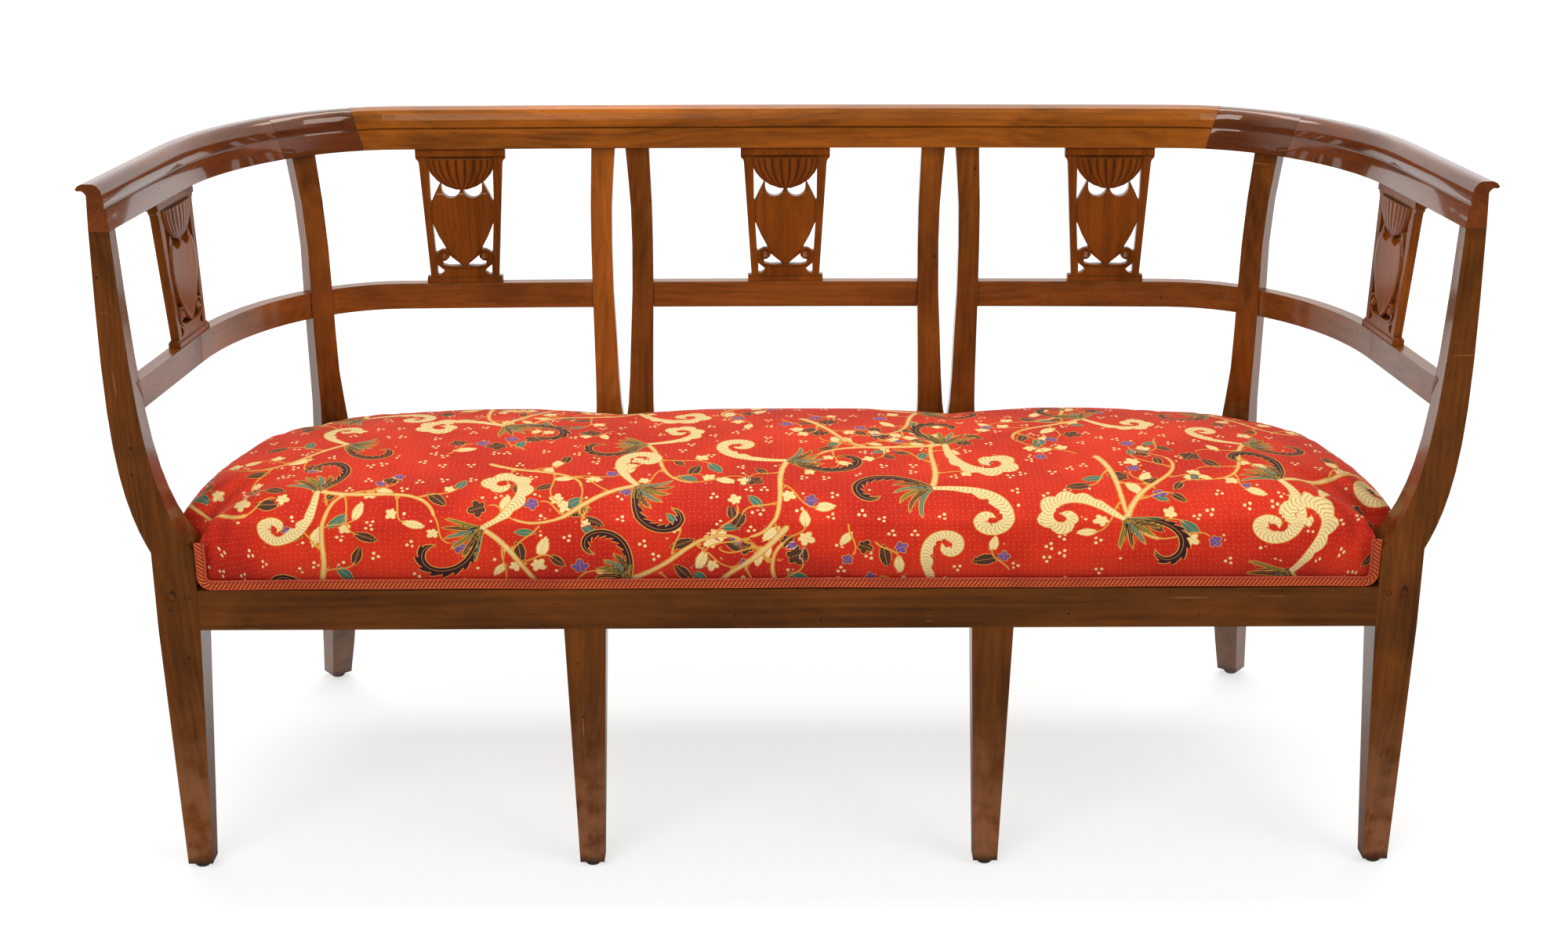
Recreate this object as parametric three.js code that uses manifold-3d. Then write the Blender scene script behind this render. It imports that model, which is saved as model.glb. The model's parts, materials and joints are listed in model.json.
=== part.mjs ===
// An open-back settee in polished fruitwood. A moulded crest rail runs round in a U on two front
// posts, two raked corner posts and two pairs of waisted back posts. Below it run a mid rail and five
// pierced splats; the stuffed seat rests on a railed frame with six feet.
// Millimetres, Z up, the front faces -Y. While it is built, Y is measured back from the front plane.

import * as THREE from "three";
import { mergeVertices } from "three/addons/utils/BufferGeometryUtils.js";
import Module from "manifold-3d";

const wasm = await Module();
wasm.setup();

// Heights above the floor
const crestTop = 860;
const crestHeight = 54;
const splatHeight = 182;
const midRailHeight = 35;
const postShoulder = 420;
const seatRailTop = 371;
const seatRailHeight = 50;
const glideHeight = 7;

// Plan of the crest's inner lower edge: a straight arm, a corner and a slightly bowed back
const armHalfSpan = 763;
const armDrawIn = 25;
const backDepth = 500;
const cornerSpan = 243;
const cornerPlanDepth = 270;
const backBow = 8;
const cornerTangentSide = 146;
const cornerTangentBack = 111;

// Crest section
const crestBody = 23.5;
const crestLip = 10;
const crestLipThickness = 8;
const crestShoulder = 13;
const crestBandInset = 3;
const crestQuirk = 1.5;
const scarfReach = 14;

// Front posts: leg and arm support in one piece
const legWidth = 50;
const legDepth = 50;
const footWidth = 30;
const footDepth = 26;
const footTuck = 8;
const armSweep = 47;
const armPostWidth = 44;
const armPostDepth = 36;

// Corner posts, which run down into the raked rear legs
const cornerPostSetIn = 130;
const cornerPostTurn = THREE.MathUtils.degToRad(38);
const cornerPostWidth = 44;
const cornerPostDepth = 34;
const cornerPostTopWidth = 33;
const cornerLean = 14;
const rearLegRake = 123;
const rearLegKick = 43;
const rearFootWidth = 30;
const rearFootDepth = 28;

// Waisted back posts, in pairs
const pairCentre = 221.5;
const pairWaistGap = 13;
const pairReach = 41.5;
const backPostDepth = 21;
const backRake = 38;

// Rails
const frontRailThickness = 40;
const rearRailThickness = 30;
const sideRailThickness = 28;
const sideRailSetIn = 31;
const midRailThickness = 18;
const midRailInset = 7;
const braceWidth = 30;
const braceHeight = 34;
const braceDrop = 10;

// Middle front legs
const middleLegCentre = 244;
const middleLegWidth = 50;
const middleLegDepth = 40;
const middleFootWidth = 30;
const middleFootDepth = 26;

// Joints
const seatGap = 0.3;
const blockGap = 1;
const railTenonThickness = 12;
const railTenonHeight = 38;
const railTenonDrop = 2;
const frontTenonLength = 25;
const sideTenonLength = 20;
const braceTenonLength = 12;
const legTenonWidth = 20;
const legTenonDepth = 14;
const legTenonLength = 24;
const postTenonWidth = 14;
const postTenonDepth = 9;
const postTenonLength = 16;
const midTenonThickness = 7;
const midTenonHeight = 22;
const midTenonStop = 2;
const tongueWidth = 76;
const tongueThickness = 5;
const tongueLength = 7;
const pegRadius = 4.5;
const smallPegRadius = 3.4;
const pegLength = 44;
const pegSink = 0.4;
const pegDrop = 6;
const blockLeg = 60;
const blockHeight = 36;

// Pierced splats, in the plane of the splat
const splatCapHalfWidth = 60;
const splatPlinthHalfWidth = 51;
const splatTopHalfWidth = 55.7;
const splatFootHalfWidth = 46.2;
const stileTopWidth = 10.8;
const stileFootWidth = 8.9;
const splatThickness = 11;
const splatCapThickness = 15;
const capHeight = 13.5;
const capCove = 8;
const plinthHeight = 8.8;
const shellHalfWidth = 46.3;
const shellHeight = 42.5;
const shellProjection = 7;
const fluteDepth = 0.9;
const eyeRadius = 12.6;
const eyeOffset = 14.6;
const eyeBelowShell = 40;
const shieldHalfWidth = 42;
const shieldProud = 2.4;
const voluteRadius = 5.6;
const voluteOffset = 26.7;
const voluteHeight = 36.9;
const voluteProud = 2;
const volutePad = 7.4;
const scrollWidth = 2.6;
const scrollProud = 1.5;

// Seat
const webbingThickness = 1.5;
const webbingWidth = 50;
const cushionClearance = 2;
const cushionSideOut = 6;
const cushionBulge = 7;
const cushionEdgeHeight = 90;
const cushionCrown = 14;
const cushionRound = 36;
const cushionDip = 9;
const cushionDipReach = 62;
const cushionCornerDip = 13;
const cushionCornerDipReach = 120;
const cushionDrawIn = 5;
const cushionSpineSetIn = 232;
const braidHeight = 12.5;
const braidThickness = 2;
const braidTurnUp = 60;

// Glides
const glideRadius = 10;
const glideShankRadius = 3;
const glideShankLength = 12;

// Worked out from the sizes above
const crestBottom = crestTop - crestHeight;
const seatRailBottom = seatRailTop - seatRailHeight;
const midRailTop = crestBottom - splatHeight;
const midRailBottom = midRailTop - midRailHeight;
const backHalfSpan = armHalfSpan - cornerSpan;
const armStraight = backDepth - cornerPlanDepth;
const armCentreTop = armHalfSpan + crestBody / 2;
const legCentre = armCentreTop - armSweep;
const legInner = legCentre - legWidth / 2;
const legOuter = legCentre + legWidth / 2;
const sideRailStart = legInner + sideRailSetIn;
const rearRailFront = backDepth - backRake - seatGap;
const cutOverrun = 30;

// Finishes
function finish(color, roughness, metalness = 0) {
  return new THREE.MeshStandardMaterial({ color, roughness, metalness });
}

const goldenWood = finish(0xa85f22, 0.3);
const redWood = finish(0x7a3a20, 0.3);
const carvedWood = finish(0x8c4a26, 0.35);
const legWood = finish(0x8a4b22, 0.35);
const frameWood = finish(0xb08a5a, 0.7);
const printedCloth = finish(0xc2452c, 0.9);
const braidCloth = finish(0xb8482f, 0.85);
const jute = finish(0xa89468, 0.95);
const darkIron = finish(0x2a2320, 0.5, 0.6);

// Solids and meshes
function solidOf(geometry) {
  const plain = geometry.index ? geometry.toNonIndexed() : geometry.clone();
  const bare = new THREE.BufferGeometry();
  bare.setAttribute("position", plain.getAttribute("position"));
  const merged = mergeVertices(bare, 1e-4);
  const vertProperties = merged.getAttribute("position").array;
  const triVerts = new Uint32Array(merged.index.array);
  return new wasm.Manifold(new wasm.Mesh({ numProp: 3, vertProperties, triVerts }));
}

function geometryOf(solid) {
  const mesh = solid.getMesh();
  const geometry = new THREE.BufferGeometry();
  geometry.setAttribute("position", new THREE.BufferAttribute(mesh.vertProperties, 3));
  geometry.setIndex(new THREE.BufferAttribute(mesh.triVerts, 1));
  geometry.computeVertexNormals();
  return geometry;
}

function joined(solids) {
  return solids.reduce((whole, piece) => whole.add(piece));
}

function cutBy(solid, cutters) {
  return cutters.reduce((whole, cutter) => whole.subtract(cutter), solid);
}

// A mirror image across the middle of the settee, with its faces turned back outwards.
function mirrored(geometry) {
  const copy = geometry.clone().toNonIndexed();
  const position = copy.getAttribute("position");
  const array = position.array.slice();
  for (let i = 0; i < array.length; i += 9) {
    for (let k = 0; k < 3; k += 1) {
      array[i + k] = position.array[i + 6 + k];
      array[i + 6 + k] = position.array[i + k];
    }
  }
  for (let i = 0; i < array.length; i += 3) array[i] = -array[i];
  const turned = new THREE.BufferGeometry();
  turned.setAttribute("position", new THREE.BufferAttribute(array, 3));
  turned.computeVertexNormals();
  return turned;
}

function mirroredSolid(solid) {
  return solidOf(mirrored(geometryOf(solid)));
}

function bothSides(solids) {
  return [...solids, ...solids.map(mirroredSolid)];
}

// A box from its low and high corners.
function block(low, high) {
  const geometry = new THREE.BoxGeometry(1, 1, 1);
  const corner = geometry.getAttribute("position");
  for (let i = 0; i < corner.count; i += 1) {
    const x = corner.getX(i) > 0 ? high[0] : low[0];
    const y = corner.getY(i) > 0 ? high[1] : low[1];
    const z = corner.getZ(i) > 0 ? high[2] : low[2];
    corner.setXYZ(i, x, y, z);
  }
  return solidOf(geometry);
}

// A box standing on a level, centred in plan.
function centredBlock(x, y, low, width, depth, height) {
  return block([x - width / 2, y - depth / 2, low], [x + width / 2, y + depth / 2, low + height]);
}

// Exact turns of an extruded outline: across the front (x, z), and seen from the side (y, z)
const frontWays = new THREE.Matrix4().set(1, 0, 0, 0, 0, 0, -1, 0, 0, 1, 0, 0, 0, 0, 0, 1);
const sideWays = new THREE.Matrix4().set(0, 0, 1, 0, 1, 0, 0, 0, 0, 1, 0, 0, 0, 0, 0, 1);

function extrudedFront(shape, from, to, curveSegments = 6) {
  const settings = { depth: to - from, bevelEnabled: false, curveSegments };
  const geometry = new THREE.ExtrudeGeometry(shape, settings);
  geometry.applyMatrix4(frontWays);
  geometry.translate(0, to, 0);
  return solidOf(geometry);
}

function extrudedSide(shape, from, to) {
  const geometry = new THREE.ExtrudeGeometry(shape, { depth: to - from, bevelEnabled: false });
  geometry.applyMatrix4(sideWays);
  geometry.translate(from, 0, 0);
  return solidOf(geometry);
}

function extrudedUp(shape, from, to) {
  const geometry = new THREE.ExtrudeGeometry(shape, { depth: to - from, bevelEnabled: false });
  geometry.translate(0, 0, from);
  return solidOf(geometry);
}

function outline(points) {
  return new THREE.Shape(points.map(([a, b]) => new THREE.Vector2(a, b)));
}

// A closed skin through rings of equal count. Its flat ends are cut like the outline of a section.
function ringSolid(rings, sectionOutline) {
  const count = rings[0].length;
  const index = [];
  const last = (rings.length - 1) * count;
  for (const [a, b, c] of THREE.ShapeUtils.triangulateShape(sectionOutline, [])) {
    index.push(c, b, a, last + a, last + b, last + c);
  }
  return skinSolid(rings, rings.flat(), index);
}

// The same for rings about a middle point, with ends fanned out from that point.
function fannedSolid(rings, middle) {
  const count = rings[0].length;
  const first = new THREE.Vector3(middle.x, middle.y, rings[0][0].z);
  const final = new THREE.Vector3(middle.x, middle.y, rings.at(-1)[0].z);
  const last = (rings.length - 1) * count;
  const hub = rings.length * count;
  const index = [];
  for (let i = 0; i < count; i += 1) {
    const next = (i + 1) % count;
    index.push(hub, next, i, hub + 1, last + i, last + next);
  }
  return skinSolid(rings, [...rings.flat(), first, final], index);
}

function skinSolid(rings, points, index) {
  const count = rings[0].length;
  const positions = points.flatMap((p) => [p.x, p.y, p.z]);
  for (let r = 0; r + 1 < rings.length; r += 1) {
    for (let i = 0; i < count; i += 1) {
      const a = r * count + i;
      const b = r * count + ((i + 1) % count);
      index.push(a, b, b + count, a, b + count, a + count);
    }
  }
  const geometry = new THREE.BufferGeometry();
  geometry.setAttribute("position", new THREE.Float32BufferAttribute(positions, 3));
  geometry.setIndex(index);
  const solid = solidOf(geometry);
  if (solid.volume() >= 0) return solid;
  const turned = [];
  for (let i = 0; i < index.length; i += 3) turned.push(index[i], index[i + 2], index[i + 1]);
  geometry.setIndex(turned);
  return solidOf(geometry);
}

// Plan lines
class HalfPlan extends THREE.CurvePath {
  // The right half, from the front end of the arm round to the middle of the back.
  constructor() {
    super();
    const front = new THREE.Vector2(armHalfSpan, 0);
    const sideEnd = new THREE.Vector2(armHalfSpan - armDrawIn, armStraight);
    const backStart = new THREE.Vector2(backHalfSpan, backDepth - backBow);
    const middle = new THREE.Vector2(0, backDepth);
    const bow = new THREE.Vector2(backHalfSpan / 2, backDepth);
    const along = sideEnd.clone().sub(front).normalize();
    const back = backStart.clone().sub(bow).normalize();
    const sideControl = sideEnd.clone().addScaledVector(along, cornerTangentSide);
    const backControl = backStart.clone().addScaledVector(back, cornerTangentBack);
    this.add(new THREE.LineCurve(front, sideEnd));
    this.add(new THREE.CubicBezierCurve(sideEnd, sideControl, backControl, backStart));
    this.add(new THREE.QuadraticBezierCurve(backStart, bow, middle));
  }
}

const crestLine = new HalfPlan();
const crestLength = crestLine.getLength();

// The place at a share of a plan line: its point, its way along and the way outwards.
function station(line, share) {
  const point = line.getPoint(share);
  const along = line.getTangent(share);
  return { point, along, out: new THREE.Vector2(along.y, -along.x) };
}

// The share at which a falling or rising coordinate of the crest line meets a value.
function shareWhere(axis, value, low, high) {
  const rising = crestLine.getPoint(high)[axis] > crestLine.getPoint(low)[axis];
  for (let i = 0; i < 40; i += 1) {
    const middle = (low + high) / 2;
    if (crestLine.getPoint(middle)[axis] < value === rising) low = middle;
    else high = middle;
  }
  return (low + high) / 2;
}

const armShare = armStraight / crestLength;
const backShare = 1 - backHalfSpan / crestLength;

// A section carried along a plan line between two shares. Each end may be cut askew by its own rule.
function swept(line, shares, section, options = {}) {
  const { startSkew = () => 0, endSkew = () => 0, startPlane = null, mirrorEnd = false } = options;
  const rings = shares.map((share, i) => {
    const first = i === 0;
    const last = i === shares.length - 1;
    return section.map(([out, z]) => {
      const skew = (first ? startSkew(out, z) : 0) + (last ? endSkew(out, z) : 0);
      const at = station(line, share);
      const x = at.point.x + at.out.x * out + at.along.x * skew;
      const y = at.point.y + at.out.y * out + at.along.y * skew;
      if (first && startPlane !== null) {
        const toPlane = (startPlane - y) / at.along.y;
        return new THREE.Vector3(x + at.along.x * toPlane, startPlane, z);
      }
      if (last && mirrorEnd) return new THREE.Vector3(0, y, z);
      return new THREE.Vector3(x, y, z);
    });
  });
  const flat = section.map(([out, z]) => new THREE.Vector2(out, z));
  return ringSolid(rings, flat);
}

function sharesBetween(from, to, count) {
  return Array.from({ length: count + 1 }, (_, i) => from + ((to - from) * i) / count);
}

function rectangle(outFrom, outTo, low, high) {
  return [
    [outFrom, low],
    [outTo, low],
    [outTo, high],
    [outFrom, high],
  ];
}

// Front posts
function easeOut(share, quickness) {
  return (1 - Math.exp(-share / quickness)) / (1 - Math.exp(-1 / quickness));
}

const armStationShares = [0, 0.03, 0.07, 0.12, 0.18, 0.25, 0.34, 0.45, 0.6, 0.78, 1];
const armSweepShare = 0.21;
const armFlareShare = 0.12;
const armDepthShare = 0.15;

function armCentreAt(share) {
  return legCentre + armSweep * easeOut(share, armSweepShare);
}

function armWidthAt(share) {
  const taper = crestBody + (armPostWidth - crestBody) * (1 - share);
  return taper + (legWidth - armPostWidth) * Math.exp(-share / armFlareShare) * (1 - share);
}

function armDepthAt(share) {
  const taper = crestBody + (armPostDepth - crestBody) * (1 - share);
  return taper + (legDepth - armPostDepth) * Math.exp(-share / armDepthShare) * (1 - share);
}

// The post's body; a grown copy, wider by the gap all round, cuts the rails that meet it.
function frontPostBody(grow = 0) {
  const armHeight = crestBottom - postShoulder;
  const outer = [];
  const inner = [];
  const rear = [];
  for (const share of armStationShares) {
    const z = postShoulder + armHeight * share;
    outer.push([armCentreAt(share) + armWidthAt(share) / 2 + grow, z]);
    inner.push([armCentreAt(share) - armWidthAt(share) / 2 - grow, z]);
    rear.push([armDepthAt(share) + grow, z]);
  }
  const footOuter = legOuter - footTuck;
  const front = outline([
    [footOuter - footWidth - grow, glideHeight],
    [footOuter + grow, glideHeight],
    [legOuter + grow, seatRailBottom],
    ...outer,
    ...inner.reverse(),
    [legInner - grow, seatRailBottom],
  ]);
  const side = outline([
    [-grow, glideHeight],
    [footDepth + grow, glideHeight],
    [legDepth + grow, seatRailBottom],
    ...rear,
    [-grow, crestBottom],
  ]);
  const across = extrudedFront(front, -cutOverrun, legDepth + cutOverrun);
  const along = extrudedSide(side, legInner - cutOverrun, armHalfSpan + cutOverrun + cutOverrun);
  return across.intersect(along);
}

// The tenon at the head of a post, or its mortise when it is grown.
function headTenon(x, y, low, grow = 0) {
  const width = postTenonWidth + 2 * grow;
  const depth = postTenonDepth + 2 * grow;
  return centredBlock(x, y, low, width, depth, postTenonLength + grow);
}

// Corner posts stand in a frame of their own, turned to face the middle of the seat.
const cornerPostShare = shareWhere("x", armHalfSpan - cornerPostSetIn, armShare, backShare);
const cornerHead = station(crestLine, cornerPostShare).point;
const cornerFrame = new THREE.Matrix4()
  .makeRotationZ(-cornerPostTurn)
  .setPosition(cornerHead.x, cornerHead.y, 0);
const cornerAlong = new THREE.Vector2(Math.cos(cornerPostTurn), -Math.sin(cornerPostTurn));
const cornerOut = new THREE.Vector2(Math.sin(cornerPostTurn), Math.cos(cornerPostTurn));

function inCornerFrame(solid) {
  const geometry = geometryOf(solid);
  geometry.applyMatrix4(cornerFrame);
  return solidOf(geometry);
}

// Shares of the height from the seat rail to the crest, and of the lean, widths and thickness
const cornerCentreShares = [
  [0, -1.03],
  [0.14, -0.96],
  [0.34, -0.58],
  [0.58, -0.48],
  [0.79, -0.52],
  [1, 0],
];
const cornerWidthShares = [
  [0, 1],
  [0.14, 0.93],
  [0.25, 0.78],
  [0.34, 0.73],
  [0.58, 0.715],
  [0.79, 0.67],
  [1, 0.75],
];
const cornerFaceShares = [
  [0, -0.24],
  [0.14, -0.27],
  [0.34, -0.28],
  [0.58, -0.27],
  [0.79, -0.12],
  [1, 0.05],
];
const cornerDepthShares = [
  [0, 1],
  [0.14, 0.78],
  [0.34, 0.68],
  [0.58, 0.65],
  [1, 0.62],
];
const cornerHeightShares = [0, 0.07, 0.14, 0.22, 0.32, 0.45, 0.58, 0.72, 0.86, 1];
const rearLegShares = [0, 0.2, 0.4, 0.6, 0.8, 1];
const rearLegCurve = 1.7;

// The value of a smooth table at a share of the height.
function tableAt(table, share) {
  const last = table.length - 1;
  const k = Math.max(0, table.findLastIndex(([at]) => at <= share));
  if (k >= last) return table[last][1];
  const [x0, y0] = table[k];
  const [x1, y1] = table[k + 1];
  const slope = (i) => {
    const low = table[Math.max(0, i - 1)];
    const high = table[Math.min(last, i + 1)];
    return (high[1] - low[1]) / (high[0] - low[0]);
  };
  const t = (share - x0) / (x1 - x0);
  const width = x1 - x0;
  const rise = y1 - y0;
  const a = slope(k) * width - rise;
  const b = rise - slope(k + 1) * width;
  return y0 + rise * t + t * (1 - t) * (a * (1 - t) + b * t);
}

function cornerPostBody(grow = 0) {
  const height = crestBottom - seatRailTop;
  const left = [];
  const right = [];
  const face = [];
  const rear = [];
  for (const share of rearLegShares) {
    const down = (1 - share) ** rearLegCurve;
    const z = glideHeight + (seatRailBottom - glideHeight) * share;
    const centre = cornerLean * cornerCentreShares[0][1] - rearLegKick * down;
    const width = cornerPostWidth + (rearFootWidth - cornerPostWidth) * down;
    const front = cornerFaceShares[0][1] * cornerPostDepth + rearLegRake * down;
    const depth = cornerPostDepth + (rearFootDepth - cornerPostDepth) * down;
    left.push([centre - width / 2 - grow, z]);
    right.push([centre + width / 2 + grow, z]);
    face.push([front - grow, z]);
    rear.push([front + depth + grow, z]);
  }
  for (const share of cornerHeightShares) {
    const z = seatRailTop + height * share;
    const centre = cornerLean * tableAt(cornerCentreShares, share);
    const width = cornerPostWidth * tableAt(cornerWidthShares, share);
    const front = cornerPostDepth * tableAt(cornerFaceShares, share);
    const depth = cornerPostDepth * tableAt(cornerDepthShares, share);
    left.push([centre - width / 2 - grow, z]);
    right.push([centre + width / 2 + grow, z]);
    face.push([front - grow, z]);
    rear.push([front + depth + grow, z]);
  }
  const reach = rearLegRake + rearFootDepth + cornerPostDepth;
  const across = extrudedFront(outline([...left, ...right.reverse()]), -reach, reach);
  const along = extrudedSide(outline([...face.reverse(), ...rear]), -reach, reach);
  return across.intersect(along);
}

// Where the corner post stands on the seat frame: the middle of its section there.
const cornerSeat = cornerHead
  .clone()
  .addScaledVector(cornerAlong, cornerLean * cornerCentreShares[0][1])
  .addScaledVector(cornerOut, cornerPostDepth * (cornerFaceShares[0][1] + 0.5));
const cornerFaceMiddle = cornerSeat.clone().addScaledVector(cornerOut, -cornerPostDepth / 2);
const cornerHeadDepth = cornerPostDepth * cornerDepthShares.at(-1)[1];
const cornerHeadFace = cornerPostDepth * cornerFaceShares.at(-1)[1];

// Back posts: edges towards and away from the middle of the pair, as shares of the gap and the reach
const nearEdgeShares = [
  [0, 0.06],
  [0.136, 0.12],
  [0.216, 0.46],
  [0.389, 0.73],
  [0.572, 1],
  [0.807, 1],
  [1, 0.54],
];
const farEdgeShares = [
  [0, 1.02],
  [0.136, 0.965],
  [0.216, 0.94],
  [0.389, 0.965],
  [0.572, 1],
  [0.807, 1],
  [1, 0.93],
];
const rakeShares = [
  [0, -1],
  [0.16, -0.79],
  [0.572, -0.25],
  [1, 0.03],
];
const backHeightShares = [0, 0.07, 0.14, 0.2, 0.28, 0.4, 0.55, 0.7, 0.82, 0.92, 1];

function backPostBody(side, grow = 0) {
  const height = crestBottom - seatRailTop;
  const near = [];
  const far = [];
  const face = [];
  const rear = [];
  for (const share of backHeightShares) {
    const z = seatRailTop + height * share;
    const front = backDepth + backRake * tableAt(rakeShares, share);
    near.push([pairCentre + side * (pairWaistGap * tableAt(nearEdgeShares, share) - grow), z]);
    far.push([pairCentre + side * (pairReach * tableAt(farEdgeShares, share) + grow), z]);
    face.push([front - grow, z]);
    rear.push([front + backPostDepth + grow, z]);
  }
  const shape = outline(side > 0 ? [...far, ...near.reverse()] : [...near, ...far.reverse()]);
  const reach = backRake + backPostDepth;
  const across = extrudedFront(shape, backDepth - reach, backDepth + reach);
  const along = extrudedSide(
    outline([...face.reverse(), ...rear]),
    pairCentre - pairReach - cutOverrun,
    pairCentre + pairReach + cutOverrun,
  );
  return across.intersect(along);
}

function backPostCentre(side, share) {
  const near = pairWaistGap * tableAt(nearEdgeShares, share);
  const far = pairReach * tableAt(farEdgeShares, share);
  return pairCentre + (side * (near + far)) / 2;
}

// Splats, drawn with x across, z up from the mid rail and the shown face towards -Y
const splatLean = crestBody / 2 + midRailInset - midRailThickness / 2;
const shellTop = splatHeight - capHeight;
const shellTip = shellTop - shellHeight;
const fluteCount = 12;

function stileInner(z) {
  const top = splatTopHalfWidth - stileTopWidth;
  const foot = splatFootHalfWidth - stileFootWidth;
  return foot + ((top - foot) * (z - plinthHeight)) / (shellTop - capCove - plinthHeight);
}

// Half of the shield's edge from a horn down to the tip.
function shieldEdge() {
  const tip = voluteHeight - 2.7 * voluteRadius;
  const middle = (shellTip + tip) / 2;
  const half = (shellTip - tip) / 2;
  return [
    [0.68 * shieldHalfWidth, shellTip + 0.25 * shellHeight],
    [0.84 * shieldHalfWidth, shellTip - 0.05 * shellHeight],
    [0.96 * shieldHalfWidth, middle + 0.66 * half],
    [shieldHalfWidth, middle + 0.36 * half],
    [0.95 * shieldHalfWidth, middle + 0.1 * half],
    [0.79 * shieldHalfWidth, middle - 0.2 * half],
    [0.57 * shieldHalfWidth, middle - 0.52 * half],
    [0.3 * shieldHalfWidth, middle - 0.8 * half],
    [0, tip],
  ];
}

function holePath(points) {
  return new THREE.Path(points.map(([x, z]) => new THREE.Vector2(x, z)));
}

function mirroredPoints(points) {
  return points.map(([x, z]) => [-x, z]).reverse();
}

// The four saw-pierced openings of one half, besides the eye.
function splatOpenings() {
  const edge = shieldEdge();
  const upperContact = shellTip - 0.38 * shellHeight;
  const lowerContact = shellTip - 1.08 * shellHeight;
  const upper = [
    [stileInner(shellTop - capCove) - 0.2 * stileTopWidth, shellTop - 0.5 * capCove],
    [edge[0][0], shellTop - capCove],
    edge[0],
    [0.86 * shieldHalfWidth, shellTip - 0.1 * shellHeight],
    [stileInner(upperContact) - 0.06 * stileTopWidth, upperContact],
    [stileInner(upperContact), upperContact + 0.05 * shellHeight],
  ];
  const voluteTop = voluteHeight + volutePad;
  const lower = [
    [stileInner(lowerContact), lowerContact],
    [stileInner(lowerContact) - 0.08 * stileTopWidth, lowerContact],
    edge[5],
    edge[6],
    [voluteOffset + 0.2 * volutePad, voluteTop],
    [voluteOffset + 0.9 * volutePad, voluteTop - 0.3 * volutePad],
    [stileInner(voluteHeight) - 0.02 * stileTopWidth, voluteHeight + 0.6 * volutePad],
  ];
  const tip = edge.at(-1)[1];
  const scroll = [
    [voluteOffset - 1.2 * voluteRadius, voluteHeight + 0.1 * voluteRadius],
    [voluteOffset - 1.1 * voluteRadius, voluteHeight - 0.5 * voluteRadius],
    [voluteOffset - 0.4 * voluteRadius, voluteHeight - 1.15 * voluteRadius],
    [voluteOffset + 0.5 * voluteRadius, voluteHeight - 1.3 * voluteRadius],
    [voluteOffset + 0.3 * voluteRadius, voluteHeight - 2.2 * voluteRadius],
    [voluteOffset - voluteRadius, tip + 0.2 * voluteRadius],
    [0.5 * voluteRadius, tip + 0.3 * voluteRadius],
  ];
  const cornerTop = voluteHeight - 2.2 * voluteRadius;
  const corner = [
    [stileInner(plinthHeight) - 0.06 * stileFootWidth, cornerTop],
    [voluteOffset + 0.2 * voluteRadius, 1.95 * plinthHeight],
    [voluteOffset + 0.3 * voluteRadius, 1.7 * plinthHeight],
    [voluteOffset + 1.2 * voluteRadius, 1.24 * plinthHeight],
    [stileInner(plinthHeight) - 0.06 * stileFootWidth, 1.3 * plinthHeight],
  ];
  return [upper, lower, scroll, corner];
}

// An eye is round below and runs straight up behind the shell.
function eyeOutline(path, side) {
  const x = side * eyeOffset;
  const z = shellTop - eyeBelowShell;
  path.moveTo(x + eyeRadius, z + eyeRadius);
  path.lineTo(x - eyeRadius, z + eyeRadius);
  path.absarc(x, z, eyeRadius, Math.PI, 2 * Math.PI, false);
  return path;
}

function splatPlate() {
  const half = [
    [splatPlinthHalfWidth, 0],
    [splatPlinthHalfWidth, plinthHeight],
    [splatFootHalfWidth, plinthHeight],
    [splatTopHalfWidth, shellTop - capCove],
    [splatTopHalfWidth + 0.2 * (splatCapHalfWidth - splatTopHalfWidth), shellTop - 0.45 * capCove],
    [splatCapHalfWidth, shellTop],
    [splatCapHalfWidth, splatHeight],
  ];
  const shape = outline([...half, ...mirroredPoints(half)]);
  for (const opening of splatOpenings()) {
    shape.holes.push(holePath(opening), holePath(mirroredPoints(opening)));
  }
  for (const side of [-1, 1]) shape.holes.push(eyeOutline(new THREE.Path(), side));
  return extrudedFront(shape, -splatThickness / 2, splatThickness / 2, 5);
}

// The fluted half bowl: half ellipses that widen from the tip to the rim, scalloped by the flutes.
function splatShell() {
  const levelShares = [0.02, 0.12, 0.3, 0.52, 0.76, 1];
  const rings = levelShares.map((level) => {
    const spread = (1 - (1 - level) ** 2) ** 0.55;
    const ring = [];
    for (let i = 0; i <= 2 * fluteCount; i += 1) {
      const turn = Math.PI * (i / (2 * fluteCount) - 0.5);
      const flute = i % 2 === 1 ? -fluteDepth * spread : 0;
      const x = (shellHalfWidth * spread + flute) * Math.sin(turn);
      const y = (shellProjection * spread + flute) * Math.cos(turn);
      ring.push(new THREE.Vector3(x, -splatThickness / 2 - y, shellTip + shellHeight * level));
    }
    const back = [ring.at(-1), ring[0]].map((p) => new THREE.Vector3(p.x, splatThickness / 2, p.z));
    return [...ring, ...back];
  });
  return ringSolid(rings, rings.at(-1).map((p) => new THREE.Vector2(p.x, p.y)));
}

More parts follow.
